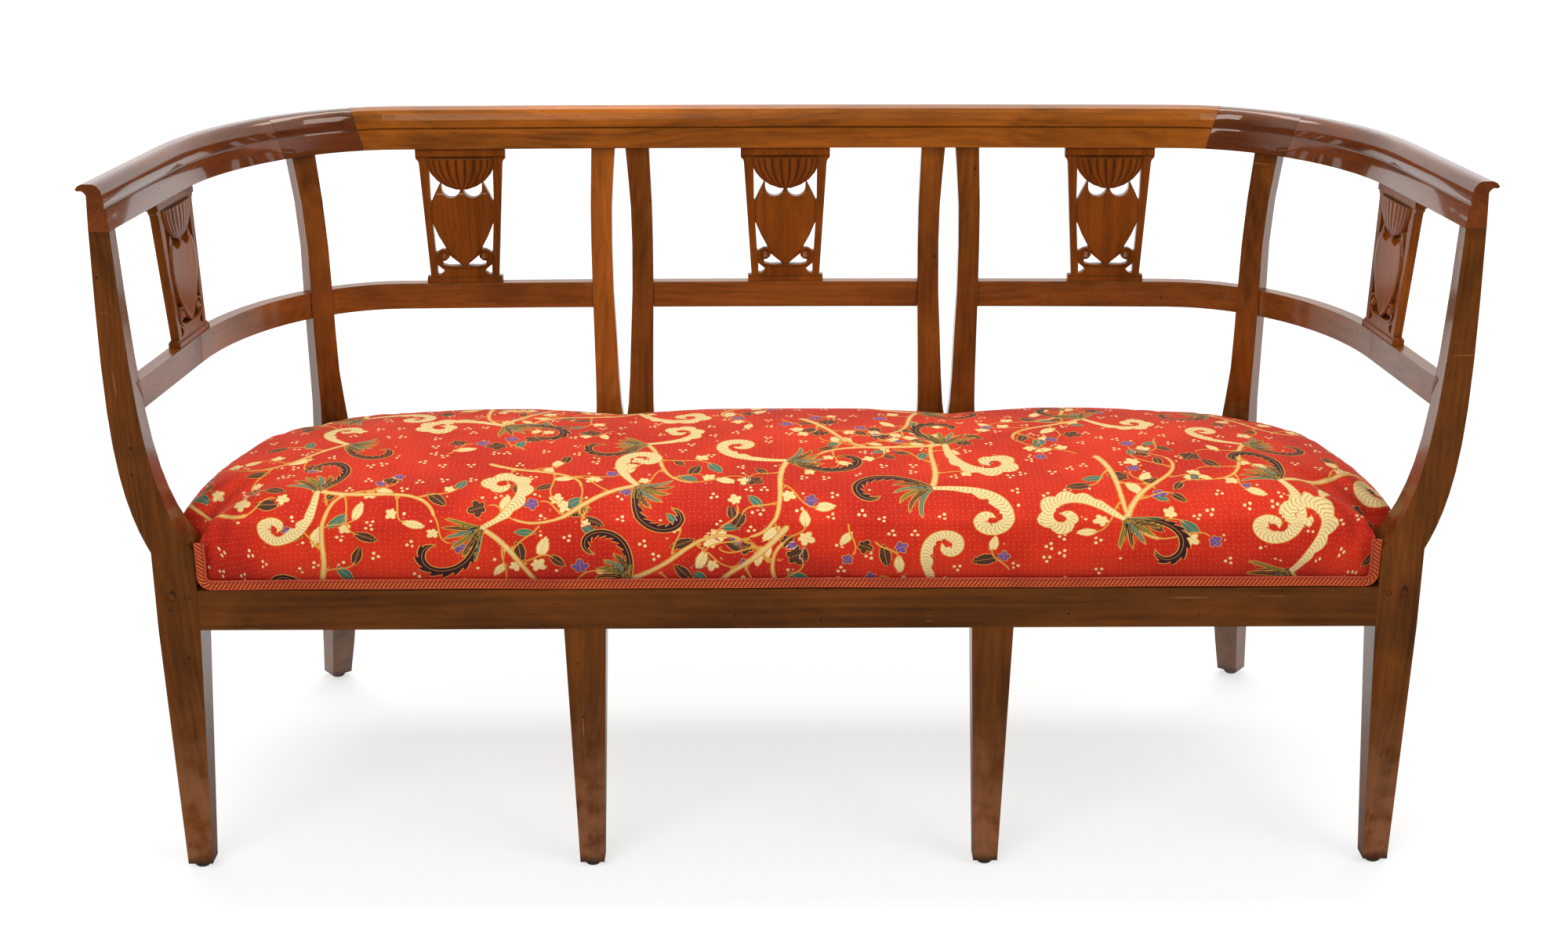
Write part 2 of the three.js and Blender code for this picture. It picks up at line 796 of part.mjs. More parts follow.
function splatShield() {
  const edge = shieldEdge();
  const shape = outline([...edge.slice(1), ...mirroredPoints(edge.slice(1, -1))]);
  const geometry = new THREE.ExtrudeGeometry(shape, {
    depth: splatThickness / 2,
    bevelThickness: shieldProud,
    bevelSize: 1.6 * shieldProud,
    bevelOffset: -1.6 * shieldProud,
    bevelSegments: 2,
  });
  geometry.applyMatrix4(frontWays);
  const front = block(
    [-shieldHalfWidth, -splatThickness / 2 - shieldProud - cutOverrun, 0],
    [shieldHalfWidth, 0, splatHeight],
  );
  const eyes = [-1, 1].map((side) =>
    extrudedFront(eyeOutline(new THREE.Shape(), side), -cutOverrun, cutOverrun, 5),
  );
  return cutBy(solidOf(geometry).intersect(front), eyes);
}

function splatVolutes() {
  return [-1, 1].map((side) => {
    const thickness = splatThickness / 2 + voluteProud;
    const disc = new THREE.CylinderGeometry(0.62 * voluteRadius, voluteRadius, thickness, 12);
    disc.rotateX(Math.PI / 2);
    disc.translate(side * voluteOffset, -thickness / 2, voluteHeight);
    return solidOf(disc);
  });
}

// A raised band coils from the shield over each button, down the stile and along the foot.
const scrollShares = [
  [-1.1, 0.85],
  [-0.45, 1.4],
  [0.46, 1.5],
  [1.3, 1.05],
  [1.68, 0.2],
  [1.62, -0.8],
  [1.15, -1.75],
  [0.1, -2.45],
  [-1.7, -2.7],
];

function splatScroll() {
  const middle = scrollShares.map(([across, up]) => [
    voluteOffset + across * voluteRadius,
    voluteHeight + up * voluteRadius,
  ]);
  middle.push([-scrollWidth, middle.at(-1)[1]]);
  const edges = [-1, 1].map((side) =>
    middle.map(([x, z], i) => {
      const [px, pz] = middle[Math.max(0, i - 1)];
      const [nx, nz] = middle[Math.min(middle.length - 1, i + 1)];
      const way = new THREE.Vector2(nx - px, nz - pz).normalize();
      return [x - (way.y * side * scrollWidth) / 2, z + (way.x * side * scrollWidth) / 2];
    }),
  );
  const band = outline([...edges[0], ...edges[1].reverse()]);
  const solid = extrudedFront(band, -splatThickness / 2 - scrollProud, 0);
  return bothSides([solid]);
}

function splatMouldings() {
  const half = splatCapThickness / 2;
  const capLow = shellTop + 0.2 * capHeight;
  const plinthHigh = 0.72 * plinthHeight;
  const cap = block([-splatCapHalfWidth, -half, capLow], [splatCapHalfWidth, half, splatHeight]);
  const plinth = block([-splatPlinthHalfWidth, -half, 0], [splatPlinthHalfWidth, half, plinthHigh]);
  return [cap, plinth];
}

// The lean of the splat is a shear, so that its shoulders stay level on the rails.
const shear = splatLean / splatHeight;
const splatShear = new THREE.Matrix4().set(1, 0, 0, 0, 0, 1, shear, 0, 0, 0, 1, 0, 0, 0, 0, 1);

function splatTongues(grow = 0) {
  const width = tongueWidth / 2 + grow;
  const depth = tongueThickness / 2 + grow;
  const foot = block([-width, -depth, -tongueLength - grow], [width, depth, plinthHeight / 2]);
  const head = block(
    [-width, -depth, splatHeight - capHeight / 2],
    [width, depth, splatHeight + tongueLength + grow],
  );
  return foot.add(head);
}

function splatGeometry() {
  const trimmed = block(
    [-splatCapHalfWidth - cutOverrun, -cutOverrun, 0],
    [splatCapHalfWidth + cutOverrun, cutOverrun, splatHeight - seatGap],
  );
  const carving = [splatShell(), splatShield(), ...splatVolutes(), ...splatScroll()];
  const body = joined([splatPlate(), ...carving, ...splatMouldings()]);
  const whole = body.intersect(trimmed).add(splatTongues());
  const geometry = geometryOf(whole);
  geometry.applyMatrix4(splatShear);
  return geometry;
}

// Where a splat stands: on the middle of the mid rail, square to the plan.
function splatPlace(share) {
  const at = station(crestLine, share);
  const out = -midRailInset + midRailThickness / 2;
  const place = new THREE.Group();
  place.position.set(at.point.x + at.out.x * out, at.point.y + at.out.y * out, midRailTop);
  place.rotation.z = Math.atan2(-at.along.y, -at.along.x);
  place.updateMatrixWorld(true);
  return place;
}

function splatMortise(place) {
  const geometry = geometryOf(splatTongues(seatGap));
  geometry.applyMatrix4(splatShear);
  geometry.applyMatrix4(place.matrixWorld);
  return solidOf(geometry);
}

const cornerEdgeX = cornerHead.x - 0.75 * cornerPostTopWidth;
const splatBackX = (pairCentre + pairReach + cornerEdgeX) / 2;
const splatSideShare = (0.5 * (cornerHead.y - 0.5 * cornerPostTopWidth)) / crestLength;
const splatPlaces = {
  back_right: splatPlace(shareWhere("x", splatBackX, backShare, 1)),
  side_right: splatPlace(splatSideShare),
  back_centre: splatPlace(1),
};
splatPlaces.back_centre.position.x = 0;
splatPlaces.back_centre.rotation.z = 0;
splatPlaces.back_centre.updateMatrixWorld(true);

// Crest section, from the inner lower edge: fascia, quirk, band, rounded shoulder, top and rolled lip
function crestSection() {
  const bandTop = crestTop - 1.2 * crestShoulder;
  const bandFoot = crestTop - 0.5 * crestHeight;
  const neck = crestTop - crestLipThickness - 0.5 * crestLip;
  const flat = 0.5 * (crestShoulder + crestBody);
  return [
    [0, crestBottom],
    [crestBody, crestBottom],
    [crestBody - crestQuirk, neck],
    [crestBody - crestQuirk + 0.2 * crestLip, neck + 0.3 * crestLip],
    [crestBody + 0.3 * crestLip, crestTop - crestLipThickness],
    [crestBody + 0.85 * crestLip, crestTop - crestLipThickness],
    [crestBody + crestLip, crestTop - 0.72 * crestLipThickness],
    [crestBody + 0.7 * crestLip, crestTop - 0.25 * crestLipThickness],
    [crestBody + 0.25 * crestLip, crestTop],
    [flat, crestTop],
    [crestShoulder, crestTop - 0.03 * crestShoulder],
    [0.68 * crestShoulder, crestTop - 0.22 * crestShoulder],
    [0.42 * crestShoulder, crestTop - 0.58 * crestShoulder],
    [crestBandInset + 0.02 * crestShoulder, bandTop],
    [crestBandInset, bandFoot + crestQuirk],
    [crestBandInset + crestQuirk, bandFoot],
    [crestQuirk, bandFoot - crestQuirk],
  ];
}

// Seams of the crest, slanted in elevation like a long scarf
const armSeamShare = cornerPostShare - (1.1 * cornerPostTopWidth) / crestLength;
const backSeamShare = cornerPostShare + (2.3 * cornerPostTopWidth) / crestLength;

function scarf(out, z) {
  return scarfReach * (0.5 - (z - crestBottom) / crestHeight);
}

function reversedScarf(out, z) {
  return scarf(out, z) - seatGap;
}

const section = crestSection();
const backShares = [
  ...sharesBetween(backSeamShare, backShare, 3),
  ...sharesBetween(backShare, 1, 6).slice(1),
];
const crestArm = swept(crestLine, [0, ...sharesBetween(armShare, armSeamShare, 7)], section, {
  startPlane: 0,
  endSkew: reversedScarf,
});
const crestCorner = swept(crestLine, sharesBetween(armSeamShare, backSeamShare, 6), section, {
  startSkew: scarf,
  endSkew: reversedScarf,
});
const crestBackHalf = swept(crestLine, backShares, section, { startSkew: scarf, mirrorEnd: true });
const crestBack = crestBackHalf.add(mirroredSolid(crestBackHalf));

// Posts, with their head tenons
const frontPost = frontPostBody().add(headTenon(armCentreTop, crestBody / 2, crestBottom));
const cornerPostLocal = cornerPostBody().add(
  headTenon(0, cornerHeadFace + cornerHeadDepth / 2, crestBottom),
);
const cornerPost = inCornerFrame(cornerPostLocal);
const cornerPostGrown = inCornerFrame(cornerPostBody(seatGap));
const frontPostGrown = frontPostBody(seatGap);

function backTenons(side, grow = 0) {
  const headY = backDepth + backRake * rakeShares.at(-1)[1] + backPostDepth / 2;
  const footY = backDepth - backRake + backPostDepth / 2;
  const head = headTenon(backPostCentre(side, 1), headY, crestBottom, grow);
  const width = postTenonWidth + 2 * grow;
  const depth = postTenonDepth + 2 * grow;
  const foot = centredBlock(
    backPostCentre(side, 0),
    footY,
    seatRailTop - postTenonLength - grow,
    width,
    depth,
    postTenonLength + grow,
  );
  return head.add(foot);
}

const backPosts = { inner: -1, outer: 1 };

// Mid rail: its body stops at the posts, its tenons run on into them
const midSection = rectangle(-midRailInset, midRailThickness - midRailInset, midRailBottom, midRailTop);
const midMiddle = (midRailBottom + midRailTop) / 2;

function midTenonSection(grow = 0) {
  const centre = midRailThickness / 2 - midRailInset;
  return rectangle(
    centre - midTenonThickness / 2 - grow,
    centre + midTenonThickness / 2 + grow,
    midMiddle - midTenonHeight / 2 - grow,
    midMiddle + midTenonHeight / 2 + grow,
  );
}

const midHeightShare = (midMiddle - seatRailTop) / (crestBottom - seatRailTop);
const cornerMidX = cornerHead.x + cornerLean * tableAt(cornerCentreShares, midHeightShare) * cornerAlong.x;
const cornerMidShare = shareWhere("x", cornerMidX, armShare, backShare);
const outerPostShare = shareWhere("x", backPostCentre(1, midHeightShare), backShare, 1);
const innerPostShare = shareWhere("x", backPostCentre(-1, midHeightShare), backShare, 1);
const frontMidDepth = armDepthAt((midMiddle - postShoulder) / (crestBottom - postShoulder));
const stopShare = midTenonStop / crestLength;
const midSideStart = (0.5 * frontMidDepth) / crestLength;

function midRailBetween(shares, posts, options = {}) {
  const body = cutBy(swept(crestLine, shares, midSection, options), posts);
  return body.add(swept(crestLine, shares, midTenonSection(), options));
}

function midMortise(shares, options = {}) {
  const slack = seatGap / crestLength;
  const longer = [shares[0] - slack, ...shares.slice(1, -1), Math.min(1, shares.at(-1) + slack)];
  return swept(crestLine, longer, midTenonSection(seatGap), options);
}

const innerPostGrown = backPostBody(-1, seatGap);
const outerPostGrown = backPostBody(1, seatGap);
const midSideShares = [midSideStart, ...sharesBetween(armShare, cornerMidShare - stopShare, 9)];
const midBackShares = [
  ...sharesBetween(cornerMidShare + stopShare, backShare, 5),
  ...sharesBetween(backShare, outerPostShare, 3).slice(1),
];
const midCentreShares = sharesBetween(innerPostShare, 1, 2);
const midSide = midRailBetween(midSideShares, [frontPostGrown, cornerPostGrown]);
const midBackSide = midRailBetween(midBackShares, [cornerPostGrown, outerPostGrown]);
const midCentreHalf = midRailBetween(midCentreShares, [innerPostGrown], { mirrorEnd: true });
const midSideMortise = midMortise(midSideShares);
const midBackMortise = midMortise(midBackShares);
const midCentreMortise = midMortise(midCentreShares, { mirrorEnd: true });

// Seat frame. The side rail leaves the front post square and meets the corner post along its face;
// how far it keeps to each way is a share of the run between the posts.
const sideFrontTangentShare = 0.607;
const sideCornerTangentShare = 0.267;
const sideRun = cornerSeat.y - legDepth;

class SideRailLine extends THREE.CubicBezierCurve {
  constructor() {
    const start = new THREE.Vector2(sideRailStart, legDepth);
    const startControl = new THREE.Vector2(sideRailStart, legDepth + sideFrontTangentShare * sideRun);
    const endControl = cornerSeat.clone().addScaledVector(cornerAlong, sideCornerTangentShare * sideRun);
    super(start, startControl, endControl, cornerSeat.clone());
  }
}

const sideRailLine = new SideRailLine();
const sideSection = rectangle(-sideRailThickness / 2, sideRailThickness / 2, seatRailBottom, seatRailTop);
const railTenonHigh = seatRailTop - railTenonDrop;
const railTenonLow = railTenonHigh - railTenonHeight;

function sideTenonSection(grow = 0) {
  const half = railTenonThickness / 2 + grow;
  return rectangle(-half, half, railTenonLow - grow, railTenonHigh + grow);
}

const sideRailEndShare = 1 - midTenonStop / sideRailLine.getLength();

function sideRailFrontTenon(grow = 0) {
  const half = railTenonThickness / 2 + grow;
  return block(
    [sideRailStart - half, legDepth - sideTenonLength - grow, railTenonLow - grow],
    [sideRailStart + half, legDepth + 2 * seatGap, railTenonHigh + grow],
  );
}

const sideRailShares = sharesBetween(0, sideRailEndShare, 14);
const railStart = { startPlane: legDepth };
const sideRailBody = cutBy(swept(sideRailLine, sideRailShares, sideSection, railStart), [cornerPostGrown]);
const sideRailRearTenon = swept(sideRailLine, sideRailShares, sideTenonSection(), railStart);
const sideRail = joined([sideRailBody, sideRailRearTenon, sideRailFrontTenon()]);
const sideRailMortise = swept(
  sideRailLine,
  sharesBetween(0.5, sideRailEndShare + seatGap / sideRailLine.getLength(), 10),
  sideTenonSection(seatGap),
);

function frontRailTenon(grow = 0) {
  const middle = frontRailThickness / 2;
  const half = railTenonThickness / 2 + grow;
  return block(
    [legInner - 2 * seatGap, middle - half, railTenonLow - grow],
    [legInner + frontTenonLength + grow, middle + half, railTenonHigh + grow],
  );
}

function rearRailTenon(grow = 0) {
  const middle = rearRailFront + rearRailThickness / 2;
  const half = railTenonThickness / 2 + grow;
  const reach = cornerSeat.x - midTenonStop + grow;
  return block([-reach, middle - half, railTenonLow - grow], [reach, middle + half, railTenonHigh + grow]);
}

const braceTop = seatRailTop - braceDrop;
const braceLow = braceTop - braceHeight;

function braceTenons(grow = 0) {
  const wide = braceWidth / 3 + grow;
  const low = braceLow + braceHeight / 6 - grow;
  const high = braceTop - braceHeight / 3 + grow;
  const front = block(
    [middleLegCentre - wide, frontRailThickness - braceTenonLength - grow, low],
    [middleLegCentre + wide, frontRailThickness + 2 * seatGap, high],
  );
  const rear = block(
    [middleLegCentre - wide, rearRailFront - 2 * seatGap, low],
    [middleLegCentre + wide, rearRailFront + braceTenonLength + grow, high],
  );
  return [front, rear];
}

const brace = joined([
  block(
    [middleLegCentre - braceWidth / 2, frontRailThickness, braceLow],
    [middleLegCentre + braceWidth / 2, rearRailFront, braceTop],
  ),
  ...braceTenons(),
]);

// Middle legs: square at the rail, tapering on all four sides
function middleLegBody() {
  const half = middleLegWidth / 2;
  const foot = middleFootWidth / 2;
  const front = outline([
    [middleLegCentre - foot, glideHeight],
    [middleLegCentre + foot, glideHeight],
    [middleLegCentre + half, seatRailBottom],
    [middleLegCentre - half, seatRailBottom],
  ]);
  const side = outline([
    [0, glideHeight],
    [middleFootDepth, glideHeight],
    [middleLegDepth, seatRailBottom],
    [0, seatRailBottom],
  ]);
  const across = extrudedFront(front, -cutOverrun, middleLegDepth + cutOverrun);
  const along = extrudedSide(side, middleLegCentre - middleLegWidth, middleLegCentre + middleLegWidth);
  return across.intersect(along);
}

function middleLegTenon(grow = 0) {
  const width = legTenonWidth + 2 * grow;
  const depth = legTenonDepth + 2 * grow;
  return centredBlock(
    middleLegCentre,
    frontRailThickness / 2,
    seatRailBottom,
    width,
    depth,
    legTenonLength + grow,
  );
}

// Pegs through the front posts and the tenons in them
const pegLevel = railTenonHigh - pegDrop;
const smallPegX = legInner + frontTenonLength / 2;

function roundBar(x, radius, from, to) {
  const geometry = new THREE.CylinderGeometry(radius, radius, to - from, 12);
  geometry.translate(x, (from + to) / 2, pegLevel);
  return solidOf(geometry);
}

function peg(x, radius) {
  return roundBar(x, radius, pegSink, pegLength);
}

function pegBore(x, radius) {
  return roundBar(x, radius + seatGap, -cutOverrun, pegLength + seatGap);
}

// Glides: a domed disc with a shank up into the foot
function glideProfile(grow = 0) {
  return [
    [0, 0],
    [glideRadius - 0.2 * glideRadius, 0],
    [glideRadius, 0.2 * glideRadius],
    [glideRadius, glideHeight],
    [glideShankRadius + grow, glideHeight],
    [glideShankRadius + grow, glideHeight + glideShankLength + grow],
    [0, glideHeight + glideShankLength + grow],
  ];
}

function glide(x, y, grow = 0) {
  const points = glideProfile(grow).map(([r, z]) => new THREE.Vector2(r, z));
  const geometry = new THREE.LatheGeometry(points, 16);
  geometry.applyMatrix4(frontWays);
  geometry.translate(x, y, 0);
  return solidOf(geometry);
}

const frontFoot = new THREE.Vector2(legOuter - footTuck - footWidth / 2, footDepth / 2);
const middleFoot = new THREE.Vector2(middleLegCentre, middleFootDepth / 2);
const rearFoot = cornerHead
  .clone()
  .addScaledVector(cornerAlong, cornerLean * cornerCentreShares[0][1] - rearLegKick)
  .addScaledVector(cornerOut, cornerPostDepth * cornerFaceShares[0][1] + rearLegRake + rearFootDepth / 2);

// Glue blocks in the corners of the frame
const blockTop = seatRailTop - braceDrop;

function frontCornerBlock() {
  const back = frontRailThickness + blockGap;
  const railInner = sideRailStart - sideRailThickness / 2 - blockGap;
  return extrudedUp(
    outline([
      [legInner - blockLeg, back],
      [legInner - blockGap, back],
      [legInner - blockGap, legDepth + blockGap],
      [railInner, legDepth + blockGap],
      [railInner, legDepth + blockLeg],
    ]),
    blockTop - blockHeight,
    blockTop,
  );
}

function rearCornerBlock() {
  const back = rearRailFront - blockGap;
  const face = cornerFaceMiddle.clone().addScaledVector(cornerOut, -blockGap);
  const reach = (back - face.y) / cornerAlong.y;
  const meeting = face.clone().addScaledVector(cornerAlong, reach);
  const edge = face.clone().addScaledVector(cornerAlong, cornerPostWidth / 2);
  const side = station(sideRailLine, 0.8);
  const rail = side.point.clone().addScaledVector(side.out, -sideRailThickness / 2 - blockGap);
  return extrudedUp(
    outline([
      [meeting.x - blockLeg, back],
      [rail.x, rail.y],
      [edge.x, edge.y],
      [meeting.x, meeting.y],
    ]),
    blockTop - blockHeight,
    blockTop,
  );
}

// Seat outline in plan, from the middle of the front round to the middle of the back
const seatFrontY = 2 * cushionClearance;
const seatBackY = rearRailFront - cushionClearance;

function cushionCorner(bulge = 0) {
  const start = new THREE.Vector2(sideRailStart + cushionSideOut + bulge, legDepth + cushionClearance);
  const end = cornerFaceMiddle.clone().addScaledVector(cornerOut, -cushionClearance);
  const startControl = start.clone().add(new THREE.Vector2(0, sideFrontTangentShare * sideRun));
  const endReach = cushionCornerTangentShare * sideRun + bulge;
  const endControl = end.clone().addScaledVector(cornerAlong, endReach);
  return new THREE.CubicBezierCurve(start, startControl, endControl, end);
}

const cushionCornerTangentShare = 0.255;
const seatFrontShares = [0, 0.18, 0.35, 0.51, 0.65, 0.77, 0.86, 0.92, 1];
const seatBackShares = [1, 0.85, 0.7, 0.56, 0.46, 0.37, 0.28, 0.18, 0];

function halfSeatOutline(bulge) {
  const corner = cushionCorner(bulge).getPoints(16);
  const inner = legInner - 0.5 * cushionClearance;
  const points = [];
  for (const share of seatFrontShares) points.push([inner * share, seatFrontY]);
  points.push([inner, legDepth + cushionClearance]);
  for (const p of corner.slice(0, -1)) points.push([p.x, p.y]);
  const last = corner.at(-1);
  const flatStart = last.x - (seatBackY - last.y) / Math.tan(cornerPostTurn);
  for (const share of seatBackShares) points.push([flatStart * share, seatBackY]);
  return points;
}

function seatOutline(bulge = 0) {
  const half = halfSeatOutline(bulge);
  const left = mirroredPoints(half.slice(1, -1));
  return [...half, ...left];
}

// Each point moved inwards by a distance, along the bisector of its two sides.
function insetOutline(points, distance) {
  const count = points.length;
  return points.map(([x, y], i) => {
    const [px, py] = points[(i + count - 1) % count];
    const [nx, ny] = points[(i + 1) % count];
    const before = new THREE.Vector2(x - px, y - py).normalize();
    const after = new THREE.Vector2(nx - x, ny - y).normalize();
    const normal = new THREE.Vector2(-before.y - after.y, before.x + after.x).normalize();
    const stretch = Math.min(1.6, 1 / Math.max(0.4, -before.y * normal.x + before.x * normal.y));
    return [x + normal.x * distance * stretch, y + normal.y * distance * stretch];
  });
}

// The stuffed seat: drawn in at the tacking line, full at the side, rolled over to a low crown.
const cushionSpineHalf = legInner - cushionSpineSetIn;
const cushionSpineY = (seatFrontY + seatBackY) / 2;
const crownShares = [0.28, 0.58, 0.86];

// The top sinks a little before each pair of back posts, which leaves a crown in each bay, and
// before each corner post.
function sunken(x, y) {
  const away = (Math.abs(x) - pairCentre) / cushionDipReach;
  const backward = Math.max(0, (y - cushionSpineY) / (seatBackY - cushionSpineY));
  const fromCorner = cornerFaceMiddle.distanceTo(new THREE.Vector2(Math.abs(x), y)) / cushionCornerDipReach;
  const atPair = cushionDip * Math.exp(-away * away) * backward;
  return atPair + cushionCornerDip * Math.exp(-fromCorner * fromCorner);
}

function cushionSolid() {
  const low = seatRailTop + webbingThickness + seatGap;
  const edge = [
    [0, cushionDrawIn, 0],
    [0, 0.3 * cushionDrawIn, 0.15 * cushionEdgeHeight],
    [1, 0, 0.38 * cushionEdgeHeight],
    [1, 0.06 * cushionRound, 0.64 * cushionEdgeHeight],
    [1, 0.32 * cushionRound, 0.87 * cushionEdgeHeight],
    [1, cushionRound, cushionEdgeHeight],
  ];
  const rings = edge.map(([bulgeShare, inset, rise]) =>
    insetOutline(seatOutline(bulgeShare * cushionBulge), inset).map(([x, y]) => {
      const sink = sunken(x, y) * (rise / cushionEdgeHeight) ** 2;
      return new THREE.Vector3(x, y, low + rise - sink);
    }),
  );
  const rim = rings.at(-1);
  for (const share of crownShares) {
    const rise = cushionEdgeHeight + cushionCrown * Math.sin((Math.PI / 2) * share);
    rings.push(
      rim.map((p) => {
        const spineX = Math.max(-cushionSpineHalf, Math.min(cushionSpineHalf, p.x));
        const x = p.x + (spineX - p.x) * share;
        const y = p.y + (cushionSpineY - p.y) * share;
        return new THREE.Vector3(x, y, low + rise - sunken(x, y));
      }),
    );
  }
  return fannedSolid(rings, new THREE.Vector2(0, cushionSpineY));
}

// Webbing: strips both ways, drawn tight over the frame and tacked on its rails
const webbingReach = sideRailThickness / 3;
const lengthwiseShares = [0.07, 0.185, 0.43, 0.545, 0.66, 0.775, 0.89];
const crosswiseShares = [0.2, 0.4, 0.6, 0.8];

function webbing() {
  const strips = [];
  const top = seatRailTop + webbingThickness;
  for (const share of lengthwiseShares) {
    for (const side of [-1, 1]) {
      const x = side * share * legInner;
      const low = [x - webbingWidth / 2, webbingReach, seatRailTop];
      strips.push(block(low, [x + webbingWidth / 2, seatBackY + webbingReach, top]));
    }
  }
  for (const share of crosswiseShares) {
    const y = seatFrontY + share * (seatBackY - seatFrontY);
    strips.push(
      block([-legOuter, y - webbingWidth / 2, seatRailTop], [legOuter, y + webbingWidth / 2, top]),
    );
  }
  const within = outline(insetOutline(seatOutline(), webbingReach));
  return joined(strips).intersect(extrudedUp(within, seatRailTop - cutOverrun, top + cutOverrun));
}

// Braid along the foot of the cover, turned up beside the front posts
const braidLow = seatRailTop + seatGap;

function frontBraid() {
  const half = legInner - seatGap;
  const high = braidLow + braidHeight;
  const inner = half - braidHeight;
  const shape = outline([
    [-half, braidLow],
    [half, braidLow],
    [half, high + braidTurnUp - braidHeight],
    [inner, high + braidTurnUp - braidHeight],
    [inner, high],
    [-inner, high],
    [-inner, high + braidTurnUp - braidHeight],
    [-half, high + braidTurnUp - braidHeight],
  ]);
  const back = seatFrontY - seatGap;
  return extrudedFront(shape, back - braidThickness, back);
}

function sideBraid() {
  const line = cushionCorner();
  const shares = sharesBetween(0.004, 0.78, 12);
  const strip = rectangle(seatGap, seatGap + braidThickness, braidLow, braidLow + braidHeight);
  return swept(line, shares, strip);
}

// Cutters shared by the pieces that hold the joints
const frontPostMortises = [
  frontRailTenon(seatGap),
  sideRailFrontTenon(seatGap),
  midSideMortise,
  pegBore(smallPegX, smallPegRadius),
  pegBore(sideRailStart, pegRadius),
  glide(frontFoot.x, frontFoot.y, seatGap),
];
const cornerPostMortises = [
  sideRailMortise,
  rearRailTenon(seatGap),
  midSideMortise,
  midBackMortise,
  glide(rearFoot.x, rearFoot.y, seatGap),
];
const frontHeadMortise = headTenon(armCentreTop, crestBody / 2, crestBottom, seatGap);
const crestArmCutters = [frontHeadMortise, splatMortise(splatPlaces.side_right)];
const cornerHeadMortise = inCornerFrame(
  headTenon(0, cornerHeadFace + cornerHeadDepth / 2, crestBottom, seatGap),
);
const backHalfCutters = [
  backTenons(-1, seatGap),
  backTenons(1, seatGap),
  splatMortise(splatPlaces.back_right),
];
const backCutters = [...bothSides(backHalfCutters), splatMortise(splatPlaces.back_centre)];

const settee = new THREE.Group();

function addPart(name, geometry, material, parent = settee) {
  const mesh = new THREE.Mesh(geometry, material);
  mesh.name = name;
  parent.add(mesh);
}

// A right-hand piece and its mirror image.
function addPair(name, solid, material) {
  const geometry = geometryOf(solid);
  addPart(`${name}_right`, geometry, material);
  addPart(`${name}_left`, mirrored(geometry), material);
}

// Crest
addPart("crest_back", geometryOf(cutBy(crestBack, backCutters)), goldenWood);
addPair("crest_corner", cutBy(crestCorner, [cornerHeadMortise]), redWood);
addPair("crest_arm", cutBy(crestArm, crestArmCutters), redWood);

// Posts
addPair("front_post", cutBy(frontPost, frontPostMortises), legWood);
addPair("corner_post", cutBy(cornerPost, cornerPostMortises), legWood);
for (const [name, side] of Object.entries(backPosts)) {
  const mortises = side > 0 ? [midBackMortise] : [midCentreMortise];
  const geometry = geometryOf(cutBy(backPostBody(side).add(backTenons(side)), mortises));
  addPart(`back_post_right_${name}`, geometry, legWood);
  addPart(`back_post_left_${name}`, mirrored(geometry), legWood);
}

// Mid rail
const midCentre = midCentreHalf.add(mirroredSolid(midCentreHalf));
const midBackSplat = splatMortise(splatPlaces.back_right);
const midSideSplat = splatMortise(splatPlaces.side_right);
const midCentreSplat = splatMortise(splatPlaces.back_centre);
addPart("mid_rail_back_centre", geometryOf(cutBy(midCentre, [midCentreSplat])), legWood);
addPair("mid_rail_back", cutBy(midBackSide, [midBackSplat]), legWood);
addPair("mid_rail_side", cutBy(midSide, [midSideSplat]), legWood);

// Splats, each in its own turned frame
const splat = splatGeometry();

function addSplat(name, place, side = 1) {
  const frame = new THREE.Group();
  frame.position.set(side * place.position.x, place.position.y, place.position.z);
  frame.rotation.z = side * place.rotation.z;
  settee.add(frame);
  addPart(name, splat, carvedWood, frame);
}

addSplat("splat_back_centre", splatPlaces.back_centre);
for (const [side, hand] of [
  [1, "right"],
  [-1, "left"],
]) {
  addSplat(`splat_back_${hand}`, splatPlaces.back_right, side);
  addSplat(`splat_side_${hand}`, splatPlaces.side_right, side);
}

// Seat frame
const frontRailBody = block([-legInner, 0, seatRailBottom], [legInner, frontRailThickness, seatRailTop]);
const frontRail = joined([frontRailBody, ...bothSides([frontRailTenon()])]);
const frontRailBore = pegBore(smallPegX, smallPegRadius);
const frontRailCutters = bothSides([middleLegTenon(seatGap), braceTenons(seatGap)[0], frontRailBore]);
addPart("seat_rail_front", geometryOf(cutBy(frontRail, frontRailCutters)), legWood);
const rearRailReach = cornerSeat.x - midTenonStop;
const rearRailBody = block(
  [-rearRailReach, rearRailFront, seatRailBottom],
  [rearRailReach, rearRailFront + rearRailThickness, seatRailTop],
);
const rearRail = cutBy(rearRailBody, bothSides([cornerPostGrown])).add(rearRailTenon());
const rearRailCutters = [backTenons(-1, seatGap), backTenons(1, seatGap), braceTenons(seatGap)[1]];
addPart("seat_rail_rear", geometryOf(cutBy(rearRail, bothSides(rearRailCutters))), frameWood);
addPair("seat_rail_side", cutBy(sideRail, [pegBore(sideRailStart, pegRadius)]), legWood);
addPair("seat_brace", brace, frameWood);
const middleLeg = middleLegBody().add(middleLegTenon());
addPair("middle_leg", cutBy(middleLeg, [glide(middleFoot.x, middleFoot.y, seatGap)]), legWood);
addPair("corner_block_front", frontCornerBlock(), frameWood);
addPair("corner_block_rear", rearCornerBlock(), frameWood);

